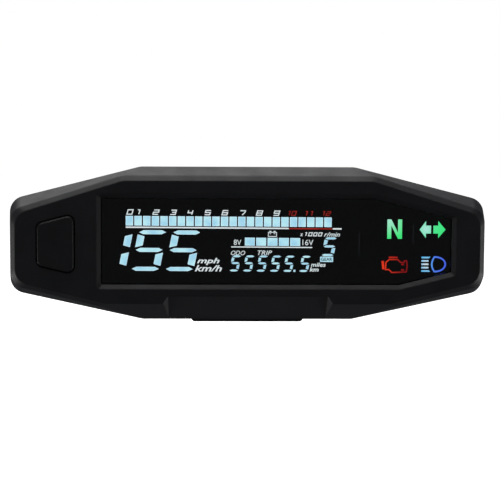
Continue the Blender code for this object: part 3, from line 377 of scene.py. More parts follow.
def lineCrossing(a, b, c, d):
    ab = (b[0] - a[0], b[1] - a[1])
    cd = (d[0] - c[0], d[1] - c[1])
    along = ((c[0] - a[0]) * cd[1] - (c[1] - a[1]) * cd[0]) / (ab[0] * cd[1] - ab[1] * cd[0])
    return (a[0] + along * ab[0], a[1] + along * ab[1])


def movedEdges(corners, distances):
    edges = []
    for index, start in enumerate(corners):
        end = corners[(index + 1) % len(corners)]
        run = Vector((end[0] - start[0], end[1] - start[1])).normalized()
        out = (-run.y * distances[index], run.x * distances[index])
        edges.append(((start[0] + out[0], start[1] + out[1]), (end[0] + out[0], end[1] + out[1])))
    return [lineCrossing(*edges[index - 1], *edges[index]) for index in range(len(edges))]


def grown(corners, distance):
    return movedEdges(corners, [distance] * len(corners))


def roundedLoop(corners, radii, steps, columns=None):
    # columns are extra points along one edge: (edge index, list of x)
    points = []
    for index, corner in enumerate(corners):
        here = Vector(corner)
        back = (Vector(corners[index - 1]) - here).normalized()
        ahead = (Vector(corners[(index + 1) % len(corners)]) - here).normalized()
        half = back.angle(ahead) / 2
        radius = radii[index]
        centre = here + (back + ahead).normalized() * (radius / math.sin(half))
        first = here + back * (radius / math.tan(half)) - centre
        last = here + ahead * (radius / math.tan(half)) - centre
        sweep = first.angle_signed(last)
        for step in range(steps + 1):
            turn = -sweep * step / steps
            x = first.x * math.cos(turn) - first.y * math.sin(turn)
            z = first.x * math.sin(turn) + first.y * math.cos(turn)
            points.append((centre.x + x, centre.y + z))
        if columns and columns[0] == index:
            end = corners[(index + 1) % len(corners)]
            for x in columns[1]:
                share = (x - corner[0]) / (end[0] - corner[0])
                points.append((x, corner[1] + share * (end[1] - corner[1])))
    return points


def ringAt(outline, depth):
    return [Vector((x, faceY + depth, z)) for x, z in outline]


def softened(rings, lengths, steps=4):
    # rounds the profile where it turns; a length is how far the rounding reaches along the profile
    result = []
    for index, ring in enumerate(rings):
        length = lengths[index]
        if not length:
            result.append(ring)
            continue
        for step in range(steps + 1):
            t = step / steps
            points = []
            for corner, before, after in zip(ring, rings[index - 1], rings[index + 1]):
                back = before - corner
                ahead = after - corner
                start = corner + back * min(length / max(back.length, 1e-6), 0.48)
                end = corner + ahead * min(length / max(ahead.length, 1e-6), 0.48)
                points.append(start * (1 - t) ** 2 + corner * 2 * t * (1 - t) + end * t ** 2)
            result.append(points)
    return result


def addSkin(bm, rings, closed=False):
    loops = [[bm.verts.new(point * mm) for point in ring] for ring in rings]
    pairs = list(zip(loops, loops[1:])) + ([(loops[-1], loops[0])] if closed else [])
    for front, back in pairs:
        for index in range(len(front)):
            after = (index + 1) % len(front)
            bm.faces.new((front[index], front[after], back[after], back[index]))
    return loops


def fillFlat(bm, loops):
    edges = []
    for loop in loops:
        for index, vert in enumerate(loop):
            after = loop[(index + 1) % len(loop)]
            edges.append(bm.edges.get((vert, after)) or bm.edges.new((vert, after)))
    bmesh.ops.triangle_fill(bm, use_beauty=True, use_dissolve=False, edges=edges)


def meshFrom(bm, name, sharp=32, recalc=True):
    if recalc:
        bmesh.ops.recalc_face_normals(bm, faces=bm.faces)
    mesh = bpy.data.meshes.new(name)
    bm.to_mesh(mesh)
    bm.free()
    mesh.shade_smooth()
    mesh.set_sharp_from_angle(angle=math.radians(sharp))
    return mesh


def addPiece(name, mesh, material):
    piece = bpy.data.objects.new(name, mesh)
    bpy.context.scene.collection.objects.link(piece)
    mesh.materials.clear()
    mesh.materials.append(material)
    return piece


def smoothed(piece, sharp=32, weigh=True):
    # large flat faces keep their own direction beside the small ones of a rounded edge
    piece.data.shade_smooth()
    piece.data.set_sharp_from_angle(angle=math.radians(sharp))
    if weigh:
        modifier = piece.modifiers.new('weighted', 'WEIGHTED_NORMAL')
        modifier.keep_sharp = True
        modifier.weight = 100
        bakedMesh(piece, piece.name)
    return piece


def bakedMesh(piece, name):
    # the mesh as it is after its modifiers, with the modifiers gone
    graph = bpy.context.evaluated_depsgraph_get()
    mesh = bpy.data.meshes.new_from_object(piece.evaluated_get(graph), depsgraph=graph)
    mesh.name = name
    old = piece.data
    piece.modifiers.clear()
    piece.data = mesh
    if old.users == 0:
        bpy.data.meshes.remove(old)
    return mesh


# ---- front case

shell = {
    'halfWidth': caseHigh.x,
    'top': caseHigh.z,
    'bottom': -caseLow.z,
    'depth': caseHigh.y - caseLow.y,
    'topFlat': 43.6,
    'bottomFlat': 42.4,
    'endTop': 17.3,
    'endBottom': 19.8,
    'frontEndIn': 1.5,
    'frontTopIn': 3.2,
    'frontEndTopIn': 3.7,
    'frontEndBottomIn': 3.45,
    'topGrowth': 6.7,
    'bottomGrowth': 14.6,
    'chinDrop': 8.0,
    'chamfer': 2.0,
    'endRadius': 6.5,
    'topRadius': 9.0,
    'bottomRadius': 5.0,
    'sideWall': 2.5,
    'frontWall': 2.0,
    'faceSupport': 0.42,
    'faceEdge': 0.7,  # rounding of the edges, along the profile
    'shoulderEdge': 0.8,
    'partingEdge': 0.35,
    'tabHalfWidth': 32.0,
    'tabRise': 3.0,
    'tabSlope': 1.5,
}

opening = {
    'left': 60.6,
    'right': 83.4,
    'top': 20.5,
    'bottom': 17.8,
    'topFlat': 50.8,
    'bottomFlat': 60.9,
    'endTop': 12.1,
    'endBottom': 12.2,
    'bevel': 1.8,
    'bevelDepth': 1.2,
    'radius': 1.8,
    'rimEdge': 0.45,
    'support': 0.4,
}

button = {
    'outer': 84.2,
    'inner': 69.4,
    'outerTop': 8.4,
    'innerTop': 12.3,
    'outerBottom': 8.3,
    'innerBottom': 11.7,
    'radius': 2.6,
    'clearance': 0.35,
    'raise': 0.8,
    'edge': 0.8,
    'dish': 0.22,
    'flange': 1.1,
    'flangeFront': 3.2,
    'flangeBack': 4.4,
}

tabColumns = [38.0, 36.0, 35.0] + [34.5 - 0.25 * step for step in range(14)] + [30.0, 26.0, 20.0, 12.0, 4.0]
bottomColumns = tabColumns + [-x for x in reversed(tabColumns)]


def caseCorners(halfWidth, top, topFlat, endTop, endBottom, bottomFlat, bottom):
    right = [(topFlat, top), (halfWidth, endTop), (halfWidth, -endBottom), (bottomFlat, -bottom)]
    left = [(-x, z) for x, z in reversed(right)]
    return [left[3]] + right + left[:3]


def chinAt(depth):
    return shell['bottom'] - shell['chinDrop'] * (1 - depth / shell['depth'])


def faceCorners():
    outer = caseCorners(shell['halfWidth'] - shell['frontEndIn'], shell['top'] - shell['frontTopIn'],
                        shell['topFlat'] + shell['topGrowth'], shell['endTop'] - shell['frontEndTopIn'],
                        shell['endBottom'] - shell['frontEndBottomIn'],
                        shell['bottomFlat'] + shell['bottomGrowth'], chinAt(0) + shell['chamfer'])
    return grown(outer, -shell['chamfer'])


def shoulderCorners():
    moves = [shell['chamfer']] * 8
    moves[4] = chinAt(shell['chamfer']) - chinAt(0)
    return movedEdges(faceCorners(), moves)


def partingCorners():
    return caseCorners(shell['halfWidth'], shell['top'], shell['topFlat'], shell['endTop'],
                       shell['endBottom'], shell['bottomFlat'], shell['bottom'])


def caseRadii(inset):
    top = max(shell['topRadius'] - inset, 0.5)
    end = max(shell['endRadius'] - inset, 0.5)
    bottom = max(shell['bottomRadius'] - inset, 0.5)
    return [top, top, end, end, bottom, bottom, end, end]


def caseLoop(corners, inset=0.0, floorInset=None, columns=True):
    moves = [-inset] * 8
    moves[4] = -(inset if floorInset is None else floorInset)
    extra = (4, bottomColumns) if columns else None
    return roundedLoop(movedEdges(corners, moves), caseRadii(inset), 8, extra)


def tabLift(x, depth):
    rise = shell['tabRise'] * max(1 - depth / shell['depth'], 0)
    raw = rise - shell['tabSlope'] * (abs(x) - shell['tabHalfWidth'])
    soft = 0.12  # rounds the two ends of the recess's flank
    low = 0.5 * (raw + math.sqrt(raw * raw + soft * soft))
    return rise - 0.5 * ((rise - low) + math.sqrt((rise - low) ** 2 + soft * soft)) if rise > 0.3 else 0.0


def lifted(ring):
    result = []
    for point in ring:
        depth = point.y - faceY
        lift = tabLift(point.x, depth) if point.z < -15 and abs(point.x) < 38.5 else 0.0
        result.append(point + Vector((0, 0, max(lift, 0.0))))
    return result


def openingLoop(grow):
    corners = [(-opening['left'], opening['top']), (opening['topFlat'], opening['top']),
               (opening['right'], opening['endTop']), (opening['right'], -opening['endBottom']),
               (opening['bottomFlat'], -opening['bottom']), (-opening['left'], -opening['bottom'])]
    radius = max(opening['radius'] + grow, opening['radius'] / 3)
    return roundedLoop(grown(corners, grow), [radius] * 6, 6)


def buttonLoop(grow):
    corners = [(-button['outer'], button['outerTop']), (-button['inner'], button['innerTop']),
               (-button['inner'], -button['innerBottom']), (-button['outer'], -button['outerBottom'])]
    return roundedLoop(grown(corners, grow), [button['radius'] + grow] * 4, 8)


def makeFrontCase():
    bm = bmesh.new()
    depth = shell['depth']
    wall = shell['sideWall']
    inner = shell['frontWall']
    floorLift = shell['tabRise'] * (1 - inner / depth)
    rings = [
        ringAt(caseLoop(faceCorners(), shell['faceSupport']), 0),
        ringAt(caseLoop(faceCorners()), 0),
        ringAt(caseLoop(shoulderCorners()), shell['chamfer']),
        ringAt(caseLoop(partingCorners()), depth),
        ringAt(caseLoop(partingCorners(), wall), depth),
        ringAt(caseLoop(shoulderCorners(), wall, wall + floorLift), inner),
    ]
    lengths = [0, shell['faceEdge'], shell['shoulderEdge'], shell['partingEdge'], 0, 0]
    outer = softened(rings, lengths)
    tail = len(outer) - 2
    # extra rings down the flared side, so that the recess in the chin keeps its flanks
    extra = []
    for index, ring in enumerate(outer):
        extra.append(ring)
        if index + 1 < tail and (outer[index + 1][0].y - ring[0].y) > 6:
            for step in range(1, 8):
                extra.append([a.lerp(b, step / 8) for a, b in zip(ring, outer[index + 1])])
    keep = len(extra) - 2
    shaped = [lifted(ring) for ring in extra[:keep]] + extra[keep:]
    loops = addSkin(bm, shaped)

    window = softened([
        ringAt(openingLoop(opening['support']), 0),
        ringAt(openingLoop(0), 0),
        ringAt(openingLoop(-opening['bevel']), opening['bevelDepth']),
        ringAt(openingLoop(-opening['bevel']), inner),
    ], [0, opening['rimEdge'], 0.2, 0])
    windowLoops = addSkin(bm, window)
    hole = softened([
        ringAt(buttonLoop(1.2), 0),
        ringAt(buttonLoop(button['clearance']), 0),
        ringAt(buttonLoop(button['clearance']), inner),
    ], [0, 0.25, 0])
    holeLoops = addSkin(bm, hole)
    fillFlat(bm, [loops[0], windowLoops[0], holeLoops[0]])
    fillFlat(bm, [loops[-1], windowLoops[-1], holeLoops[-1]])
    case = smoothed(addPiece('frontCase', meshFrom(bm, 'frontCase'), blackCase))
    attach(case, 'cluster')
    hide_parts('front_case')


makeFrontCase()
print('front case')


# ---- window lens

lens = {
    'gap': 0.3,
    'front': 1.2,
    'step': 3.2,
    'back': 4.6,
    'flange': 1.9,
}


def makeLens():
    plateau = -opening['bevel'] - lens['gap']
    flange = -opening['bevel'] + lens['flange']
    rings = softened([
        ringAt(openingLoop(plateau - 1.0), lens['front']),
        ringAt(openingLoop(plateau), lens['front']),
        ringAt(openingLoop(plateau), lens['step']),
        ringAt(openingLoop(flange), lens['step']),
        ringAt(openingLoop(flange), lens['back']),
        ringAt(openingLoop(flange - 1.0), lens['back']),
    ], [0, 0.18, 0, 0.15, 0.15, 0], 3)
    bm = bmesh.new()
    loops = addSkin(bm, rings)
    fillFlat(bm, [loops[0]])
    fillFlat(bm, [loops[-1]])
    window = smoothed(addPiece('windowLens', meshFrom(bm, 'windowLens'), smokedLens))
    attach(window, 'cluster')
    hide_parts('window_lens')


makeLens()
print('window lens')


# ---- push button

def makeButton():
    low, high = nodeBox('button_cap')
    centre = Vector((-(button['outer'] + button['inner']) / 2, 0, 0.175))
    top = low.y - faceY  # the cap's crown, ahead of the face
    outline = buttonLoop(0)
    crown = []
    for share, dip in ((0.04, 1.0), (0.2, 0.97), (0.4, 0.84), (0.6, 0.62), (0.75, 0.4), (0.86, 0.2)):
        crown.append([Vector((centre.x + (x - centre.x) * share, faceY + top + button['dish'] * dip,
                              centre.z + (z - centre.z) * share)) for x, z in buttonLoop(-button['edge'])])
    rings = softened([
        crown[-1],
        ringAt(buttonLoop(-button['edge'] * 0.55), top),
        ringAt(outline, top + button['edge']),
        ringAt(outline, button['flangeFront']),
        ringAt(buttonLoop(button['flange']), button['flangeFront']),
        ringAt(buttonLoop(button['flange']), button['flangeBack']),
        ringAt(buttonLoop(-5.0 * 0.3), button['flangeBack']),
    ], [0, 0.42, 0.42, 0, 0.2, 0.2, 0], 5)
    bm = bmesh.new()
    loops = addSkin(bm, crown[:-1] + rings)
    bm.faces.new(loops[0])
    stem = []
    for depth, radius in ((button['flangeBack'], 2.2), (high.y - faceY - 0.2, 2.2), (high.y - faceY, 2.0)):
        stem.append(ringAt([(centre.x + radius * math.sin(turn * math.pi / 16),
                             centre.z + radius * math.cos(turn * math.pi / 16)) for turn in range(32)], depth))
    stemLoops = addSkin(bm, stem)
    bm.faces.new(stemLoops[-1])
    fillFlat(bm, [loops[-1], stemLoops[0]])
    cap = smoothed(addPiece('pushButton', meshFrom(bm, 'pushButton', 40), blackButton), 40)
    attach(cap, 'button')
    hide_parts('button_cap')


makeButton()
print('push button')


# ---- display: thin lit films just ahead of the polarizer

display = {
    'front': 4.68,  # depth of the films' front
    'thickness': 0.1,
    'tilt': -0.31,  # degrees; the cell is seated a touch clockwise in its tray
    'pivotX': -7.7,
    'slant': 11.05,
    'edge': 0.26,  # width of the paler border of a lit cell
}


def tilted(x, z):
    turn = math.radians(display['tilt'])
    dx = x - display['pivotX']
    return (display['pivotX'] + dx * math.cos(turn) - z * math.sin(turn),
            dx * math.sin(turn) + z * math.cos(turn))


def edgeLayer(bm):
    return bm.verts.layers.float.get('edge') or bm.verts.layers.float.new('edge')


def placing(tilt):
    return tilted if tilt else (lambda x, z: (x, z))


def addFilm(bm, outline, edge=0.0, tilt=True):
    # a thin closed plate; with an edge width, its border is marked so that the finish can tell it
    mark = edgeLayer(bm)
    place = placing(tilt)
    front = display['front']
    back = front + display['thickness']

    def loopAt(points, depth, value):
        verts = []
        for x, z in points:
            px, pz = place(x, z)
            vert = bm.verts.new(Vector((px, faceY + depth, pz)) * mm)
            vert[mark] = value
            verts.append(vert)
        return verts

    loops = []
    if edge:
        loops.append(loopAt(grown(outline, -edge), front, 0.0))
    loops.append(loopAt(outline, front, 1.0 if edge else 0.0))
    loops.append(loopAt(outline, back, 1.0 if edge else 0.0))
    for before, after in zip(loops, loops[1:]):
        for index in range(len(before)):
            follow = (index + 1) % len(before)
            bm.faces.new((before[index], before[follow], after[follow], after[index]))
    bm.faces.new(list(reversed(loops[0])))
    bm.faces.new(loops[-1])


def rectangle(left, bottom, right, top):
    return [(left, top), (right, top), (right, bottom), (left, bottom)]


def ribbon(points, width, closed=False):
    # quadrilaterals along a line of corners, mitred where they meet
    count = len(points)
    sides = []
    for index, point in enumerate(points):
        here = Vector(point)
        before = Vector(points[index - 1]) if closed or index else None
        after = Vector(points[(index + 1) % count]) if closed or index + 1 < count else None
        first = (here - before).normalized() if before is not None else (after - here).normalized()
        second = (after - here).normalized() if after is not None else first
        bend = (first + second).normalized()
        across = Vector((-bend.y, bend.x))
        reach = width / 2 / max(across.dot(Vector((-first.y, first.x))), 0.35)
        sides.append((here + across * reach, here - across * reach))
    quads = []
    for index in range(count if closed else count - 1):
        a, b = sides[index], sides[(index + 1) % count]
        quads.append([tuple(a[0]), tuple(b[0]), tuple(b[1]), tuple(a[1])])
    return quads


def addRibbon(bm, points, width, closed=False, tilt=True):
    # one closed solid along the line: its corners are shared, so nothing overlaps
    mark = edgeLayer(bm)
    place = placing(tilt)
    front = faceY + display['front']
    back = front + display['thickness']
    quads = ribbon(points, width, closed)
    cross = []
    for index, quad in enumerate(quads):
        cross.append((quad[0], quad[3]))
        if index == len(quads) - 1 and not closed:
            cross.append((quad[1], quad[2]))
    sections = []
    for left, right in cross:
        section = []
        for point, depth in ((left, front), (right, front), (right, back), (left, back)):
            px, pz = place(*point)
            vert = bm.verts.new(Vector((px, depth, pz)) * mm)
            vert[mark] = 0.0
            section.append(vert)
        sections.append(section)
    pairs = list(zip(sections, sections[1:])) + ([(sections[-1], sections[0])] if closed else [])
    for a, b in pairs:
        for index in range(4):
            follow = (index + 1) % 4
            bm.faces.new((a[index], a[follow], b[follow], b[index]))
    if not closed:
        bm.faces.new(sections[0])
        bm.faces.new(list(reversed(sections[-1])))


def finishFilms(bm, name, material):
    piece = addPiece(name, meshFrom(bm, name, 20), material)
    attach(piece, 'cluster')
    return piece


# seven-segment figures: which strokes are lit
litStrokes = {'5': 'afgcd', '1': 'bc'}


def segmentOutlines(figure, left, base, width, height, upright, level, cut, gap):
    # strokes as outlines in an upright box, then slanted
    tip = level * 1.05
    middle = height * 0.515
    half = level / 2
    inset = width * 0.035
    right = left + width

    def bar(z):
        return [(left + inset, z), (left + inset + tip, z + half), (right - inset - tip, z + half),
                (right - inset, z), (right - inset - tip, z - half), (left + inset + tip, z - half)]

    def post(low, high, onRight):
        outer = right if onRight else left
        inward = outer - upright if onRight else outer + upright
        points = [(outer, high), (inward, high - cut), (inward, low + cut), (outer, low)]
        return points if not onRight else list(reversed(points))

    lowPost = (level * 1.08 + gap, middle - half * 0.95 - gap)
    highPost = (middle + half * 0.95 + gap, height - level * 0.9 - gap)
    shapes = {
        'a': bar(height - half),
        'g': bar(middle),
        'd': bar(half),
        'f': post(*highPost, False),
        'b': post(*highPost, True),
        'c': post(*lowPost, True),
    }
    lean = math.tan(math.radians(display['slant']))
    return [[(x + z * lean, base + z) for x, z in shapes[stroke]] for stroke in litStrokes[figure]]


def clockwise(points):
    area = sum(a[0] * b[1] - b[0] * a[1] for a, b in zip(points, points[1:] + points[:1]))
    return points if area < 0 else list(reversed(points))


speed = {
    'figures': '155',
    'left': -60.75,
    'pitch': 13.66,
    'base': -10.87,
    'width': 11.55,
    'height': 16.35,
    'upright': 2.85,
    'level': 1.62,
    'cut': 0.75,
    'gap': 0.28,
}

trip = {
    'figures': '55555',
    'left': -7.5,
    'pitch': 5.39,
    'base': -10.85,
    'width': 3.6,
    'height': 6.5,
    'upright': 1.0,
    'level': 0.76,
    'cut': 0.3,
    'gap': 0.14,
    'lastLeft': 20.5,
    'pointLeft': 18.35,
    'pointSize': 0.8,
}

gear = {
    'left': 29.45,
    'base': -4.4,
    'width': 4.95,
    'height': 7.6,
    'upright': 1.35,
    'level': 0.85,
    'cut': 0.4,
    'gap': 0.14,
    'plate': (29.05, -6.75, 34.25, -4.65),
}


def addFigures(bm, values, figures, left, edge):
    for index, figure in enumerate(figures):
        for outline in segmentOutlines(figure, left + index * values.get('pitch', 0), values['base'],
                                       values['width'], values['height'], values['upright'],
                                       values['level'], values['cut'], values['gap']):
            addFilm(bm, clockwise(outline), edge)


def makeFigures():
    bm = bmesh.new()
    addFigures(bm, speed, speed['figures'], speed['left'], display['edge'])
    addFigures(bm, trip, trip['figures'], trip['left'], 0.1)
    addFigures(bm, trip, '5', trip['lastLeft'], 0.1)
    point = trip['pointLeft']
    size = trip['pointSize']
    addFilm(bm, rectangle(point, trip['base'], point + size, trip['base'] + size), 0.1)
    addFigures(bm, gear, '5', gear['left'], 0.14)
    addFilm(bm, rectangle(*gear['plate']), 0.14)
    finishFilms(bm, 'litFigures', litCrystal)


makeFigures()

tachometer = {
    'count': 24,
    'left': -49.05,
    'pitch': 3.459,
    'width': 2.96,
    'bottom': 7.3,
    'height': 3.86,
    'lineZ': 6.62,
    'lineWidth': 0.56,
    'redFrom': 16.25,
    'redTo': 33.9,
    'lineEnd': 37.5,
}

battery = {
    'count': 5,
    'left': -1.3,
    'pitch': 4.55,
    'width': 4.0,
    'bottom': -0.42,
    'height': 3.2,
    'lineZ': -0.98,
    'lineWidth': 0.42,
    'lineFrom': -6.8,
    'lineTo': 25.8,
}


def startTree(name, counts, lengths):
    # a tree with whole-number and length inputs, and a function for the sums inside it
    tree = bpy.data.node_groups.new(name, 'GeometryNodeTree')
    face = tree.interface
    inputs = [('Geometry', 'Geometry')] + [(each, 'Int') for each in counts]
    inputs += [(each, 'Float') for each in lengths] + [('Material', 'Material')]
    for each, kind in inputs:
        face.new_socket(each, in_out='INPUT', socket_type='NodeSocket' + kind)
    face.new_socket('Geometry', in_out='OUTPUT', socket_type='NodeSocketGeometry')

    def maths(operation, first, second=0.0):
        return addNode(tree, 'ShaderNodeMath', {'operation': operation}, {0: first, 1: second}).outputs[0]

    return tree, tree.nodes.new('NodeGroupInput').outputs, maths


def endTree(tree, copies, material):
    real = addNode(tree, 'GeometryNodeRealizeInstances', None, {0: copies})
    painted = addNode(tree, 'GeometryNodeSetMaterial', None,
                      {'Geometry': real.outputs[0], 'Material': material})
    addNode(tree, 'NodeGroupOutput', None, {0: painted.outputs[0]})
    return tree


def cellRowTree():
    # a row of equal lit cells: a grid stands for each, thickened, its border marked for the finish
    tree, given, maths = startTree('litCellRow', ['Count'],
                                   ['Pitch', 'Width', 'Height', 'Thickness', 'Border'])
    cell = addNode(tree, 'GeometryNodeMeshGrid', None,
                   {'Size X': given['Width'], 'Size Y': given['Height'], 'Vertices X': 4, 'Vertices Y': 4})
    place = addNode(tree, 'GeometryNodeInputPosition').outputs[0]
    parts = addNode(tree, 'ShaderNodeSeparateXYZ', None, {0: place}).outputs
    moved = []
    marks = []
    for socket, size in ((parts[0], given['Width']), (parts[1], given['Height'])):
        half = maths('MULTIPLY', size, 0.5)
        onRim = maths('GREATER_THAN', maths('ABSOLUTE', socket, 0.0), maths('MULTIPLY', half, 0.9))
        within = maths('MULTIPLY', maths('SUBTRACT', half, given['Border']), maths('SIGN', socket, 0.0))
        change = addNode(tree, 'ShaderNodeMix', {'data_type': 'FLOAT'}, {0: onRim, 2: within, 3: socket})
        moved.append(change.outputs[0])
        marks.append(onRim)
    spot = addNode(tree, 'ShaderNodeCombineXYZ', None, {0: moved[0], 1: moved[1]}).outputs[0]
    edgeMark = maths('MAXIMUM', marks[0], marks[1])
    marked = addNode(tree, 'GeometryNodeStoreNamedAttribute', {'data_type': 'FLOAT', 'domain': 'POINT'},
                     {'Geometry': cell.outputs[0], 'Name': 'edge', 'Value': edgeMark})
    shaped = addNode(tree, 'GeometryNodeSetPosition', None, {'Geometry': marked.outputs[0], 'Position': spot})
    thick = addNode(tree, 'GeometryNodeExtrudeMesh', {'mode': 'FACES'},
                    {'Mesh': shaped.outputs[0], 'Offset Scale': given['Thickness'], 'Individual': False})
    back = addNode(tree, 'GeometryNodeFlipFaces', None, {0: shaped.outputs[0]})
    joined = addNode(tree, 'GeometryNodeJoinGeometry')
    tree.links.new(thick.outputs[0], joined.inputs[0])
    tree.links.new(back.outputs[0], joined.inputs[0])
    sealed = addNode(tree, 'GeometryNodeMergeByDistance', None, {'Geometry': joined.outputs[0],
                                                                 'Distance': 1e-6})
    step = addNode(tree, 'ShaderNodeCombineXYZ', None, {0: given['Pitch']}).outputs[0]
    row = addNode(tree, 'GeometryNodeMeshLine', {'mode': 'OFFSET'}, {'Count': given['Count'], 'Offset': step})
    copies = addNode(tree, 'GeometryNodeInstanceOnPoints', None,
                     {'Points': row.outputs[0], 'Instance': sealed.outputs[0]})
    return endTree(tree, copies.outputs[0], given['Material'])


def setInputs(modifier, values):
    for item in modifier.node_group.interface.items_tree:
        if item.item_type == 'SOCKET' and item.in_out == 'INPUT' and item.name in values:
            modifier[item.identifier] = values[item.name]


def cellRow(name, tree, row, border):
    piece = bpy.data.objects.new(name, bpy.data.meshes.new(name))
    bpy.context.scene.collection.objects.link(piece)
    modifier = piece.modifiers.new('litCellRow', 'NODES')
    modifier.node_group = tree
    setInputs(modifier, {'Count': row['count'], 'Pitch': row['pitch'] * mm, 'Width': row['width'] * mm,
                         'Height': row['height'] * mm, 'Thickness': display['thickness'] * mm,
                         'Border': border * mm, 'Material': litCrystal})
    mesh = bakedMesh(piece, name)
    x, z = tilted(row['left'] + row['width'] / 2, row['bottom'] + row['height'] / 2)
    mesh.transform(Matrix.Translation(Vector((x, faceY + display['front'] + display['thickness'], z)) * mm)
                   @ Matrix.Rotation(-math.radians(display['tilt']), 4, 'Y')
                   @ Matrix.Rotation(math.pi / 2, 4, 'X'))
    mesh.update()
    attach(piece, 'cluster')
    return piece


rowTree = cellRowTree()
cellRow('tachometerBars', rowTree, tachometer, 0.34)
cellRow('batteryBars', rowTree, battery, 0.24)


# ---- legends

def textMesh(words, slant=0.0, weight=0.0):
    curve = bpy.data.curves.new('words', 'FONT')
    curve.body = words
    curve.shear = slant
    curve.offset = weight
    curve.resolution_u = 3
    curve.align_x = 'LEFT'
    piece = bpy.data.objects.new('words', curve)
    bpy.context.scene.collection.objects.link(piece)
    graph = bpy.context.evaluated_depsgraph_get()
    mesh = bpy.data.meshes.new_from_object(piece.evaluated_get(graph), depsgraph=graph)
    bpy.data.objects.remove(piece)
    bpy.data.curves.remove(curve)
    return mesh


def addWords(bm, words, box, slant=0.0, weight=0.0, tilt=True, raise_=0.0):
    # fits the words to a box of left, bottom, right and top, and makes them a thin closed plate
    mesh = textMesh(words, slant, weight)
    flat = bmesh.new()
    flat.from_mesh(mesh)
    bmesh.ops.remove_doubles(flat, verts=flat.verts, dist=1e-5)
    xs = [vert.co.x for vert in flat.verts]
    ys = [vert.co.y for vert in flat.verts]
    wide = (box[2] - box[0]) / (max(xs) - min(xs))
    tall = (box[3] - box[1]) / (max(ys) - min(ys))
    front = faceY + display['front'] - raise_
    back = faceY + display['front'] + display['thickness']
    place = placing(tilt)
    mark = edgeLayer(bm)
    pairs = {}
    for vert in flat.verts:
        x, z = place(box[0] + (vert.co.x - min(xs)) * wide, box[1] + (vert.co.y - min(ys)) * tall)
        made = [bm.verts.new(Vector((x, depth, z)) * mm) for depth in (front, back)]
        for one in made:
            one[mark] = 0.0
        pairs[vert.index] = made
    for face in flat.faces:
        bm.faces.new([pairs[vert.index][0] for vert in face.verts])
        bm.faces.new([pairs[vert.index][1] for vert in reversed(face.verts)])
    for edge in flat.edges:
        if len(edge.link_faces) == 1:
            a, b = (pairs[vert.index] for vert in edge.verts)
            bm.faces.new((a[0], b[0], b[1], a[1]))
    flat.free()
    bpy.data.meshes.remove(mesh)


# wide square figures of the scale, as lines of corners in a box one wide and one high
scaleFigures = {
    '0': [([(0, 0), (1, 0), (1, 1), (0, 1)], True)],
    '1': [([(0.35, 1), (0.75, 1), (0.75, 0)], False)],
    '2': [([(0, 1), (1, 1), (1, 0.5), (0, 0.5), (0, 0), (1, 0)], False)],
    '3': [([(0, 1), (1, 1), (1, 0), (0, 0)], False), ([(0.25, 0.5), (0.9, 0.5)], False)],
    '4': [([(0, 1), (0, 0.42), (1, 0.42)], False), ([(0.85, 1), (0.85, 0)], False)],
    '5': [([(1, 1), (0, 1), (0, 0.52), (1, 0.52), (1, 0), (0, 0)], False)],
    '6': [([(1, 1), (0, 1), (0, 0), (1, 0), (1, 0.52), (0.1, 0.52)], False)],
    '7': [([(0, 1), (1, 1), (1, 0.6), (0.6, 0)], False)],
    '8': [([(0, 0), (1, 0), (1, 1), (0, 1)], True), ([(0.08, 0.5), (0.92, 0.5)], False)],
    '9': [([(0, 0), (1, 0), (1, 1), (0, 1), (0, 0.48), (0.9, 0.48)], False)],
}

scale = {
    'zero': -47.35,
    'one': -44.1,
    'two': -36.95,
    'step': 6.9,
    'redBack': 1.0,  # the red figures stand this much nearer to the start
    'middle': 12.72,
    'height': 1.75,  # between the middles of the strokes
    'width': 2.0,
    'stroke': 0.4,
    'lean': 0.3,
}


def addScaleFigure(bm, text, centre, middle, width, height, stroke):
    pitch = width + stroke * 1.9
    start = centre - (len(text) - 1) * pitch / 2
    for place, figure in enumerate(text):
        left = start + place * pitch - width / 2
        for points, closed in scaleFigures[figure]:
            line = [(left + x * width + (y - 0.5) * height * scale['lean'], middle + (y - 0.5) * height)
                    for x, y in points]
            addRibbon(bm, line, stroke, closed)


legends = {
    # words, their box (left, bottom, right, top), slant and weight
    'times': ('x', (20.9, 3.55, 20.9 + 1.1, 4.7), 0.25, 0.02),
    'thousand': {'left': 20.9 + 2.1, 'pitch': 1.98, 'middle': 4.35, 'width': 1.2, 'height': 1.28,
                 'stroke': 0.34},
    'words': (
        ('r/min', (30.5, 3.45, 36.9, 5.3), 0.3, 0.012),
        ('mph', (-20.4, -8.35, -11.4, -5.5), 0.3, 0.02),
        ('km/h', (-21.3, -10.95, -10.4, -8.4), 0.3, 0.018),
        ('8V', (-5.75, -0.25, -2.75, 1.95), 0.0, 0.0),
        ('16V', (21.85, -0.1, 26.2, 2.15), 0.0, 0.0),
        ('ODO', (-6.85, -4.3, -1.15, -2.5), 0.28, 0.005),
        ('TRIP', (3.85, -4.15, 9.65, -2.35), 0.28, 0.005),
        ('miles', (25.4, -8.75, 31.3, -7.05), 0.15, 0.02),
        ('km', (24.9, -10.7, 28.5, -8.95), 0.2, 0.022),
    ),
    'batteryBox': [(8.1, 3.35), (8.1, 5.0), (11.4, 5.0), (11.4, 3.35)],
    'batteryStroke': 0.26,
    # two terminals, a minus and a plus
    'batteryMarks': ((8.5, 5.16, 8.5 + 0.8, 5.55), (10.2, 5.16, 10.2 + 0.8, 5.55), (8.6, 4.32, 9.2, 4.55),
                     (10.25, 4.32, 10.85, 4.55)),
    'gearInset': (0.35, 0.4),
}


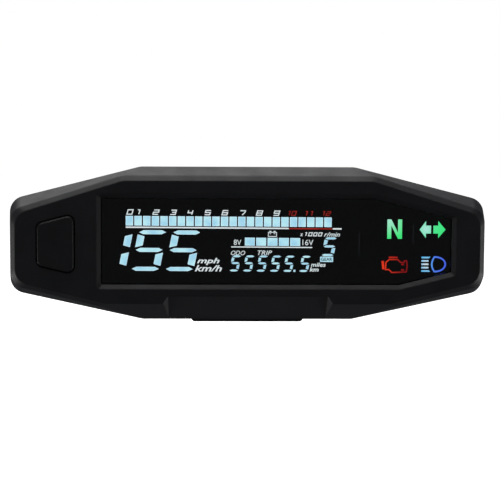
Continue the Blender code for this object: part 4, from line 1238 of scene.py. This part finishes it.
def makeLegends():
    white = bmesh.new()
    red = bmesh.new()
    for number in range(13):
        late = number > 9
        if number < 2:
            centre = scale['one'] if number else scale['zero']
        else:
            centre = scale['two'] + (number - 2) * scale['step'] - (scale['redBack'] if late else 0)
        addScaleFigure(red if late else white, str(number), centre, scale['middle'],
                       scale['width'] * (0.76 if late else 1.0), scale['height'] * (0.9 if late else 1.0),
                       scale['stroke'] * (0.76 if late else 1.0))
    row = tachometer
    half = row['lineWidth'] / 2
    addFilm(white, rectangle(row['left'], row['lineZ'] - half, row['redFrom'], row['lineZ'] + half))
    addFilm(red, rectangle(row['redFrom'] + 0.15, row['lineZ'] - half, row['redTo'] - 0.1,
                           row['lineZ'] + half * 0.6))
    addFilm(white, rectangle(row['redTo'] + 0.05, row['lineZ'] - half, row['lineEnd'], row['lineZ'] + half))

    thousand = legends['thousand']
    addWords(white, *legends['times'])
    for index, figure in enumerate('1000'):
        addScaleFigure(white, figure, thousand['left'] + index * thousand['pitch'], thousand['middle'],
                       thousand['width'], thousand['height'], thousand['stroke'])
    for row in legends['words']:
        addWords(white, *row)
    half = battery['lineWidth'] / 2
    addFilm(white, rectangle(battery['lineFrom'], battery['lineZ'] - half, battery['lineTo'],
                             battery['lineZ'] + half))

    # battery sign: a box with two terminals, a minus and a plus
    addRibbon(white, legends['batteryBox'], legends['batteryStroke'], True)
    for box in legends['batteryMarks']:
        addFilm(white, rectangle(*box))

    finishFilms(white, 'whiteLegends', litLegend)
    finishFilms(red, 'redLegends', litRed)
    dark = bmesh.new()
    left, bottom, right, top = gear['plate']
    inset = legends['gearInset']
    addWords(dark, 'GEAR', (left + inset[0], bottom + inset[1], right - inset[0], top - inset[1]), 0.0, 0.02,
             True, 0.05)
    finishFilms(dark, 'gearPlateInk', darkLegend)


makeLegends()
print('display')


# ---- telltales, standard symbols on the mask

telltales = {
    'neutral': (55.95, 2.45, 61.9, 10.25),
    'neutralStroke': 1.62,
    'arrowMiddle': 6.2,
    'arrowHalf': 3.42,
    'shaftHalf': 1.6,
    'leftArrow': (69.0, 71.55, 73.6),
    'rightArrow': (79.45, 76.5, 74.55),
    'beamLines': (69.9, 73.2),
    'beamTop': -5.1,
    'beamStep': 1.365,
    'beamLineWidth': 0.66,
    'beamStroke': 0.64,
    'engineStroke': 0.5,
    # outline of an engine block, from its upper left corner round
    'engineBlock': [(55.55, -7.1), (56.85, -5.95), (60.3, -5.95), (61.55, -7.1), (62.95, -7.1),
                    (62.95, -6.45), (63.9, -6.45), (64.15, -8.7), (63.8, -10.95), (58.0, -11.2),
                    (56.75, -10.0), (55.4, -10.0)],
    'engineLid': [(56.7, -5.45), (56.7, -4.75), (60.1, -4.75), (60.5, -5.45)],
    'engineFan': [(53.75, -6.5), (54.75, -6.5), (55.0, -9.9), (54.1, -9.9)],
    'engineTeeth': ((61.75, -8.25, 62.9, -7.55), (61.75, -10.55, 62.9, -9.8)),
}


def makeNeutral():
    left, bottom, right, top = telltales['neutral']
    stroke = telltales['neutralStroke']
    reach = stroke * 1.12 * 1.35  # height of the diagonal where it meets a post
    bm = bmesh.new()
    addFilm(bm, rectangle(left, bottom, left + stroke, top), 0, False)
    addFilm(bm, rectangle(right - stroke, bottom, right, top), 0, False)
    inner = left + stroke
    outer = right - stroke
    # the diagonal starts at the posts' inner sides, so the three strokes meet without overlapping
    addFilm(bm, clockwise([(inner, top), (inner, top - reach), (outer, bottom), (outer, bottom + reach)]),
            0, False)
    return finishFilms(bm, 'neutralSign', lampFilm('litNeutralSign', '#B4FFE0', '#48FF88', (57.0, 9.6), 7.0,
                                                   lamps['signPower']))


def arrowOutline(tip, neck, tail):
    middle = telltales['arrowMiddle']
    half = telltales['arrowHalf']
    shaft = telltales['shaftHalf']
    points = [(tip, middle), (neck, middle + half), (neck, middle + shaft), (tail, middle + shaft),
              (tail, middle - shaft), (neck, middle - shaft), (neck, middle - half)]
    return clockwise(points)


def makeArrows():
    for name, ends, near in (('leftTurnSign', telltales['leftArrow'], (71.6, 6.4)),
                             ('rightTurnSign', telltales['rightArrow'], (74.0, 7.4))):
        bm = bmesh.new()
        addFilm(bm, arrowOutline(*ends), 0, False)
        far = '#68FFB4' if name == 'leftTurnSign' else '#48FF90'
        pale = '#C0FFF0' if name == 'leftTurnSign' else '#60FFA4'
        finishFilms(bm, name, lampFilm('lit' + name[0].upper() + name[1:], pale, far, near, 4.2,
                                       lamps['signPower']))


def makeEngine():
    bm = bmesh.new()
    stroke = telltales['engineStroke']
    addRibbon(bm, telltales['engineBlock'], stroke, True, False)
    for outline in (telltales['engineLid'], telltales['engineFan']):
        addFilm(bm, clockwise(outline), 0, False)
    for box in telltales['engineTeeth']:
        addFilm(bm, rectangle(*box), 0, False)
    finishFilms(bm, 'engineSign', lampFilm('litEngineSign', '#FF4020', '#8E0E12', (54.6, -8.8), 8.0,
                                           lamps['signPower'] * 0.95))


def makeBeam():
    lines = bmesh.new()
    left, right = telltales['beamLines']
    half = telltales['beamLineWidth'] / 2
    for index in range(5):
        z = telltales['beamTop'] - index * telltales['beamStep']
        far = right if index in (0, 4) else right - 0.45
        upper = far + (0.3 if index == 0 else -0.3 if index == 4 else 0.0)
        addFilm(lines, clockwise([(left, z + half), (upper, z + half), (2 * far - upper, z - half),
                                  (left, z - half)]), 0, False)
    finishFilms(lines, 'beamLines', lampFilm('litBeamLines', '#F4FFFF', '#58C8FF', (71.9, -7.85), 3.4,
                                             lamps['signPower']))
    lampShape = bmesh.new()
    middle = telltales['beamTop'] - 2 * telltales['beamStep']
    high = 2.95
    points = []
    for step in range(13):  # bulged back
        t = -1 + 2 * step / 12
        points.append((74.1 + 1.05 * t * t, middle + high * t))
    for step in range(1, 20):  # round nose
        turn = math.pi / 2 - math.pi * step / 20
        points.append((75.15 + 4.4 * math.cos(turn) ** 0.9, middle + high * math.sin(turn)))
    addRibbon(lampShape, clockwise(points), telltales['beamStroke'], True, False)
    finishFilms(lampShape, 'beamLamp', lampFilm('litBeamLamp', '#60A8FF', '#5070FF', (73.8, -7.8), 5.5,
                                                lamps['signPower']))


makeNeutral()
makeArrows()
makeEngine()
makeBeam()

glints = {
    'places': ((44.7, -5.0, 5.0), (66.45, 0.0, 8.5)),
    'width': 0.22,
}


def makeGlints():
    # painted glints: thin glowing strips on the mask stand for the faint light lines where the edges of the
    # cell walls catch light
    material, tree, shader = newMaterial('paintedGlintAlongCellWall')
    shade = noiseAt(tree, 4.0)
    # emission colour of the painted glint, uneven along each strip
    tree.links.new(mixColours(tree, shade.outputs[0], srgb('#1A1C20'), srgb('#3A3C40')),
                   shader.inputs['Emission Color'])
    shader.inputs['Emission Strength'].default_value = 1.6
    shader.inputs['Base Color'].default_value = srgb('#18181A')
    bm = bmesh.new()
    half = glints['width'] / 2
    for x, low, high in glints['places']:
        addFilm(bm, [(x - half, high - 0.6), (x, high), (x + half, high - 0.6), (x + half, low + 0.6),
                     (x, low), (x - half, low + 0.6)], 0, False)
    finishFilms(bm, 'cellWallGlints', material)


makeGlints()


def makePrintedMask():
    # black film behind the window, so that the board and the tray stay out of sight
    mask = {'grow': 0.9, 'front': 4.8, 'back': 4.86}
    outline = openingLoop(-opening['bevel'] + mask['grow'])
    bm = bmesh.new()
    loops = addSkin(bm, [ringAt(outline, mask['front']), ringAt(outline, mask['back'])])
    fillFlat(bm, [loops[0]])
    fillFlat(bm, [loops[-1]])
    film = addPiece('printedMask', meshFrom(bm, 'printedMask'), polarizerFilm)
    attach(film, 'cluster')


makePrintedMask()
print('telltales')


# ---- rear cover

cover = {
    'lip': 0.5,
    'straight': 2.7,
    'taper': 3.2,
    'edge': 1.5,
    'back': 24.0,  # depth of the back wall
    'backEdge': 0.7,
    'rim': 3.6,
    'rimHeight': 2.6,
    'sideWall': 1.0,
    'backWall': 2.2,
    'blockTop': 17.0,
    'blockRadius': 1.6,
    'blockHalfWidth': 22.9,
    'blockEdge': 1.0,
    'blockWall': 2.5,
    'tubeRadius': 3.6,
    'bossRadius': 6.5,
    'clearRadius': 1.5,
    'counterboreRadius': 2.5,
    'seat': 18.3,
    'insertHoleRadius': 4.5,
    'insertFront': 20.4,
    'glandHoleRadius': 4.9,
    'ventHoleRadius': 3.5,
}


def middleOf(node):
    low, high = nodeBox(node)
    return (low.x + high.x) / 2, (low.z + high.z) / 2


screwPlaces = [middleOf(f'case_screw_{number}') for number in range(1, 7)]
insertPlaces = [middleOf('mount_insert_left'), middleOf('mount_insert_right')]


def solidOf(name, rings):
    bm = bmesh.new()
    loops = addSkin(bm, rings)
    bm.faces.new(loops[0])
    bm.faces.new(loops[-1])
    bmesh.ops.recalc_face_normals(bm, faces=bm.faces)
    mesh = bpy.data.meshes.new(name)
    bm.to_mesh(mesh)
    bm.free()
    solid = bpy.data.objects.new(name, mesh)
    bpy.context.scene.collection.objects.link(solid)
    return solid


def post(name, place, radius, front, back, sides=48):
    return solidOf(name, [ringAt([(place[0] + radius * math.sin(turn * math.tau / sides),
                                   place[1] + radius * math.cos(turn * math.tau / sides))
                                  for turn in range(sides)], depth) for depth in (front, back)])


def combined(target, tool, operation):
    modifier = target.modifiers.new(operation.lower(), 'BOOLEAN')
    modifier.operation = operation
    modifier.solver = 'EXACT'
    modifier.object = tool
    bakedMesh(target, target.name)
    old = tool.data
    bpy.data.objects.remove(tool)
    bpy.data.meshes.remove(old)


def blockLoop(inset, bottom=None):
    half = cover['blockHalfWidth']
    high = cover['blockTop']
    low = coverLow.z if bottom is None else bottom
    corners = [(-half, high), (half, high), (half, low), (-half, low)]
    return roundedLoop(grown(corners, -inset), [cover['blockRadius']] * 4, 6)


def makeRearCover():
    front = coverLow.y - faceY
    total = coverHigh.y - faceY
    back = cover['back']
    inner = back - cover['backWall']
    corners = partingCorners()

    def ring(inset, depth):
        return ringAt(caseLoop(corners, inset, columns=False), depth)

    body = solidOf('rearCover', softened([
        ring(0.35, front), ring(0, front + 0.01), ring(cover['lip'], front + cover['straight']),
        ring(cover['taper'] - cover['edge'], back - cover['edge']), ring(cover['taper'], back),
        ring(cover['taper'] + 2.0, back)], [0, 0.2, 0.5, 0.9, cover['backEdge'], 0]))
    blockRings = softened([
        ringAt(blockLoop(0), front), ringAt(blockLoop(0), total - cover['blockEdge']),
        ringAt(blockLoop(cover['blockEdge']), total), ringAt(blockLoop(cover['blockEdge'] + 1.0), total)],
        [0, 0.35, 0.35, 0])
    combined(body, solidOf('block', blockRings), 'UNION')

    rimBack = front + cover['rimHeight']
    combined(body, solidOf('hollow', [ring(cover['rim'], front - 1), ring(cover['rim'], rimBack),
                                      ring(cover['taper'] + cover['sideWall'], inner)]), 'DIFFERENCE')
    wall = cover['blockWall']
    blockInside = blockLoop(wall, caseLow.z + cover['rim'])
    combined(body, solidOf('blockHollow', [ringAt(blockInside, depth) for depth in (front + 1, total - wall)]),
             'DIFFERENCE')
    for place in screwPlaces:
        combined(body, post('tube', place, cover['tubeRadius'], front, inner + 1), 'UNION')
    for place in insertPlaces:
        combined(body, post('boss', place, cover['bossRadius'], cover['insertFront'] - 1.7, total - 1),
                 'UNION')
    for place in screwPlaces:
        combined(body, post('clear', place, cover['clearRadius'], front - 1, back), 'DIFFERENCE')
        combined(body, post('bore', place, cover['counterboreRadius'], cover['seat'], back + 1), 'DIFFERENCE')
    for place in insertPlaces:
        combined(body, post('hole', place, cover['insertHoleRadius'], cover['insertFront'], total + 1),
                 'DIFFERENCE')
    for node, radius in (('cable_gland', cover['glandHoleRadius']), ('vent_plug', cover['ventHoleRadius'])):
        combined(body, post('hole', middleOf(node), radius, inner - 1, back + 1), 'DIFFERENCE')
    body.data.materials.clear()
    body.data.materials.append(blackCase)
    for face in body.data.polygons:
        face.material_index = 0
    smoothed(body)
    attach(body, 'cluster')
    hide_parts('rear_cover')


makeRearCover()
print('rear cover')


# ---- cover screws: one tree makes the threaded, cross-recessed screw and sets it at each place

screw = {
    'headRadius': 2.2,
    'headHeight': 1.6,
    'shankRadius': 1.05,
    'length': 9.0,
    'threadPitch': 1.0,
    'threadHeight': 0.15,
    'dome': 0.5,
    'recessLength': 2.4,
    'recessWidth': 0.62,
    'recessDepth': 1.05,
    'seed': 4,
}


# the tree's length inputs and the sizes they take
screwLengths = {'Head Radius': 'headRadius', 'Head Height': 'headHeight', 'Shank Radius': 'shankRadius',
                'Length': 'length', 'Thread Pitch': 'threadPitch', 'Thread Height': 'threadHeight',
                'Dome': 'dome', 'Recess Length': 'recessLength', 'Recess Width': 'recessWidth',
                'Recess Depth': 'recessDepth'}


def screwTree():
    tree, given, maths = startTree('crossRecessedScrews', ['Seed'], list(screwLengths))

    def placed(geometry, x=0.0, y=0.0, z=0.0):
        offset = addNode(tree, 'ShaderNodeCombineXYZ', None, {0: x, 1: y, 2: z}).outputs[0]
        return addNode(tree, 'GeometryNodeSetPosition', None,
                       {'Geometry': geometry, 'Offset': offset}).outputs[0]

    position = addNode(tree, 'GeometryNodeInputPosition').outputs[0]
    axes = addNode(tree, 'ShaderNodeSeparateXYZ', None, {0: position}).outputs
    away = maths('SQRT', maths('ADD', maths('MULTIPLY', axes[0], axes[0]),
                               maths('MULTIPLY', axes[1], axes[1])))

    head = addNode(tree, 'GeometryNodeMeshCylinder', None,
                   {'Vertices': 40, 'Side Segments': 2, 'Fill Segments': 5, 'Radius': given['Head Radius'],
                    'Depth': given['Head Height']}).outputs[0]
    # the crown drops towards its rim, and the underside stays flat
    share = maths('POWER', maths('DIVIDE', away, given['Head Radius']), 2.2)
    drop = maths('MULTIPLY', maths('MULTIPLY', maths('MULTIPLY', share, given['Dome']), -1.0),
                 maths('GREATER_THAN', axes[2], 0.0001 * mm))
    head = placed(placed(head, z=drop), z=maths('MULTIPLY', given['Head Height'], 0.5))

    shank = addNode(tree, 'GeometryNodeMeshCylinder', None,
                    {'Vertices': 24, 'Side Segments': 72, 'Fill Segments': 1, 'Radius': given['Shank Radius'],
                     'Depth': given['Length']}).outputs[0]
    turn = maths('DIVIDE', maths('ARCTAN2', axes[1], axes[0]), math.tau)
    phase = maths('FRACT', maths('SUBTRACT', maths('DIVIDE', axes[2], given['Thread Pitch']), turn))
    offMiddle = maths('ABSOLUTE', maths('SUBTRACT', maths('MULTIPLY', phase, 2.0), 1.0))
    ridge = maths('POWER', maths('SUBTRACT', 1.0, offMiddle), 1.6)
    grow = maths('DIVIDE', maths('MULTIPLY', ridge, given['Thread Height']), given['Shank Radius'])
    fromTip = maths('ADD', axes[2], maths('MULTIPLY', given['Length'], 0.5))
    taper = addNode(tree, 'ShaderNodeMapRange', None,
                    {'Value': maths('DIVIDE', fromTip, given['Shank Radius']), 'From Min': 0.0,
                     'From Max': 1.6, 'To Min': 0.45, 'To Max': 1.0}).outputs[0]
    scaled = maths('MULTIPLY', maths('ADD', 1.0, grow), taper)
    threaded = addNode(tree, 'ShaderNodeCombineXYZ', None,
                       {0: maths('MULTIPLY', axes[0], scaled), 1: maths('MULTIPLY', axes[1], scaled),
                        2: axes[2]}).outputs[0]
    shank = addNode(tree, 'GeometryNodeSetPosition', None,
                    {'Geometry': shank, 'Position': threaded}).outputs[0]
    shank = placed(shank, z=maths('SUBTRACT', 0.2 * mm, maths('MULTIPLY', given['Length'], 0.5)))
    union = addNode(tree, 'GeometryNodeMeshBoolean', {'operation': 'UNION', 'solver': 'EXACT'})
    tree.links.new(head, union.inputs['Mesh 2'])
    tree.links.new(shank, union.inputs['Mesh 2'])

    recess = addNode(tree, 'GeometryNodeMeshBoolean', {'operation': 'DIFFERENCE', 'solver': 'EXACT'})
    tree.links.new(union.outputs[0], recess.inputs['Mesh 1'])
    raised = maths('SUBTRACT', maths('ADD', given['Head Height'], 1.0 * mm),
                   maths('MULTIPLY', maths('ADD', given['Recess Depth'], 1.0 * mm), 0.5))
    for wide, tall in (('Recess Length', 'Recess Width'), ('Recess Width', 'Recess Length')):
        size = addNode(tree, 'ShaderNodeCombineXYZ', None,
                       {0: given[wide], 1: given[tall],
                        2: maths('ADD', given['Recess Depth'], 1.0 * mm)}).outputs[0]
        arm = addNode(tree, 'GeometryNodeMeshCube', None, {'Size': size}).outputs[0]
        tree.links.new(placed(arm, z=raised), recess.inputs['Mesh 2'])

    # each screw stops at its own turn, as driven ones do
    chance = addNode(tree, 'FunctionNodeRandomValue', {'data_type': 'FLOAT'},
                     {'Min': 0.0, 'Max': math.pi / 2, 'Seed': given['Seed']})
    own = addNode(tree, 'ShaderNodeCombineXYZ', None, {2: chance.outputs[1]}).outputs[0]
    copies = addNode(tree, 'GeometryNodeInstanceOnPoints', None,
                     {'Points': given['Geometry'], 'Instance': recess.outputs[0],
                      'Rotation': (-math.pi / 2, 0, 0)})
    turned = addNode(tree, 'GeometryNodeRotateInstances', None,
                     {'Instances': copies.outputs[0], 'Rotation': own})
    return endTree(tree, turned.outputs[0], given['Material'])


def makeScrews():
    seatDepth = nodeBox('case_screw_1')[1].y - faceY - screw['headHeight']
    mesh = bpy.data.meshes.new('coverScrews')
    mesh.from_pydata([Vector((x, faceY + seatDepth, z)) * mm for x, z in screwPlaces], [], [])
    piece = bpy.data.objects.new('coverScrews', mesh)
    bpy.context.scene.collection.objects.link(piece)
    modifier = piece.modifiers.new('crossRecessedScrews', 'NODES')
    modifier.node_group = screwTree()
    values = {name: screw[key] * mm for name, key in screwLengths.items()}
    setInputs(modifier, {**values, 'Seed': screw['seed'], 'Material': zincSteel})
    bakedMesh(piece, 'coverScrews')
    smoothed(piece, 30, False)
    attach(piece, 'cluster')
    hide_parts(*[f'case_screw_{number}' for number in range(1, 7)])


makeScrews()
print('cover screws')


# ---- threaded inserts, cable gland and vent

insert = {
    'radius': 4.2,
    'bore': 2.55,
    'thread': 0.42,
    'pitch': 1.0,
    'knurl': 0.12,
    'knurls': 30,
    'mouth': 0.5,
    'sides': 60,
}


def aroundPiece(name, node, profile, material, sides, sharp=35, closed=True):
    # profile gives (radius at a turn from 0 to 1, depth) for every ring
    x, z = middleOf(node)
    rings = []
    for radiusAt, depth in profile:
        ring = []
        for step in range(sides):
            share = step / sides
            radius = radiusAt(share) if callable(radiusAt) else radiusAt
            ring.append(Vector((x + radius * math.sin(share * math.tau), faceY + depth,
                                z + radius * math.cos(share * math.tau))))
        rings.append(ring)
    bm = bmesh.new()
    loops = addSkin(bm, rings, closed)
    if not closed:
        bm.faces.new(loops[0])
        bm.faces.new(loops[-1])
    piece = addPiece(name, meshFrom(bm, name, sharp), material)
    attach(piece, 'cluster')
    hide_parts(node)
    return piece


def makeInserts():
    for side in ('left', 'right'):
        node = f'mount_insert_{side}'
        low, high = nodeBox(node)
        front = low.y - faceY
        back = high.y - faceY
        radius = insert['radius']

        def knurled(share):
            return radius - insert['knurl'] * (0.5 + 0.5 * math.cos(share * math.tau * insert['knurls']))

        profile = [(0.02, front), (radius - 0.4, front), (radius - 0.1, front + 0.3), (knurled, front + 0.7),
                   (knurled, front + 3.2), (radius - 0.45, front + 3.4), (radius - 0.45, front + 4.4),
                   (knurled, front + 4.6), (knurled, back - 0.9), (radius, back - 0.7), (radius, back - 0.12),
                   (radius - 0.12, back), (insert['bore'] + insert['thread'] + 0.25, back),
                   (insert['bore'] + insert['thread'], back - insert['mouth'] * 0.5)]
        depth = back - insert['mouth']
        floor = front + 1.3
        steps = int((depth - floor) / insert['pitch'] * 8)
        for step in range(steps + 1):
            here = depth + (floor - depth) * step / steps
            fade = min(1.0, step / 6, (steps - step) / 6)

            def thread(share, here=here, fade=fade):
                phase = (here / insert['pitch'] + share) % 1.0
                return insert['bore'] + insert['thread'] * (1 - fade * (1 - abs(2 * phase - 1)))
            profile.append((thread, here))
        profile.append((insert['bore'] - 0.3, front + 1.0))
        profile.append((0.02, front + 0.95))
        aroundPiece('mountInsert' + side.title(), node, profile, turnedBrass, insert['sides'], 40,
                    False)


gland = {
    'bore': 3.0,
    'neck': 4.6,
    'flange': 6.4,
    'tip': 4.2,
    'ribs': 3,
}


def makeGland():
    low, high = nodeBox('cable_gland')
    front = low.y - faceY
    back = high.y - faceY
    wall = cover['back']
    profile = [(gland['bore'] + 0.2, front), (5.3, front), (5.6, front + 0.3), (5.6, front + 0.95),
               (5.35, front + 1.2), (gland['neck'], front + 1.2), (gland['neck'], wall + 0.3),
               (gland['flange'] - 0.15, wall + 0.3), (gland['flange'], wall + 0.45),
               (gland['flange'], wall + 1.2),
               (gland['flange'] - 0.1, wall + 1.5), (gland['flange'] - 0.45, wall + 1.7),
               (5.15, wall + 1.72), (4.85, wall + 1.95)]
    sleeve = wall + 2.15
    # flexing ribs of the sleeve
    for rib in range(gland['ribs']):
        start = sleeve + (back - 0.35 - sleeve) * rib / gland['ribs']
        pitch = (back - 0.35 - sleeve) / gland['ribs']
        top = gland['tip'] + 0.5 - 0.14 * rib
        profile += [(top - 0.22, start), (top, start + pitch * 0.3), (top, start + pitch * 0.6),
                    (top - 0.22, start + pitch * 0.85)]
    profile += [(gland['tip'], back - 0.3), (gland['tip'] - 0.08, back - 0.08), (gland['tip'] - 0.3, back),
                (gland['bore'] + 0.3, back), (gland['bore'] + 0.06, back - 0.08),
                (gland['bore'], back - 0.35), (gland['bore'], front + 0.25)]
    aroundPiece('cableGland', 'cable_gland', profile, epdmRubber, 56)


vent = {
    'radius': 3.2,
    'head': 4.4,
    'slots': 12,
    'slotDepth': 0.35,
}


def makeVent():
    low, high = nodeBox('vent_plug')
    front = low.y - faceY
    back = high.y - faceY
    seat = cover['back'] + 0.3

    def slotted(share):
        wave = math.cos(share * math.tau * vent['slots'])
        return vent['head'] - vent['slotDepth'] * max(0.0, min(1.0, (wave - 0.55) / 0.2))

    profile = [(0.02, front), (vent['radius'] * 0.8, front), (vent['radius'], front + 0.6),
               (vent['radius'], seat), (slotted, seat), (slotted, seat + 0.72),
               (vent['head'] - 0.42, seat + 0.95), (vent['head'] * 0.8, back - 0.06),
               (vent['head'] * 0.76, back), (2.5, back), (2.42, back - 0.25), (1.7, back - 0.25),
               (1.62, back - 0.02), (0.02, back - 0.02)]
    aroundPiece('ventPlug', 'vent_plug', profile, acetalVent, 96, 35, False)


makeInserts()
makeGland()
makeVent()
print('inserts, gland and vent')


# ---- finishes of the pieces that keep their CAD shape

nodeFinishes = (
    (epdmRubber, 'lens_gasket', 'case_seal'),
    (siliconeRubber, 'button_seal', 'zebra_strip', 'switch_plunger'),
    (polarizerFilm, 'lcd_front_polarizer', 'lcd_rear_polarizer', 'telltale_mask'),
    (coatedGlass, 'lcd_front_glass', 'lcd_rear_glass'),
    (diffuserSheet, 'backlight_diffuser'),
    (clearGuide, 'light_guide'),
    (whiteTray, 'display_tray', 'harness_header'),
    (phosphorLamp, 'backlight_led', 'led_'),
    (greenBoard, 'circuit_board'),
    (zincSteel, 'board_screw', 'crystal'),
    (drawnAluminium, 'filter_capacitor'),
    (epoxyPackage, 'switch_body', 'telltale_light_box', 'microcontroller', 'lcd_driver', 'voltage_regulator'),
)


def finishNodes():
    left = []
    for name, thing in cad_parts.items():
        if thing.hide_render:
            continue
        found = [row[0] for row in nodeFinishes if name.startswith(row[1:])]
        if not found:
            left.append(name)
            continue
        for place in thing.material_slots:
            place.material = found[0]
    print('nodes without a finish:', left)


finishNodes()
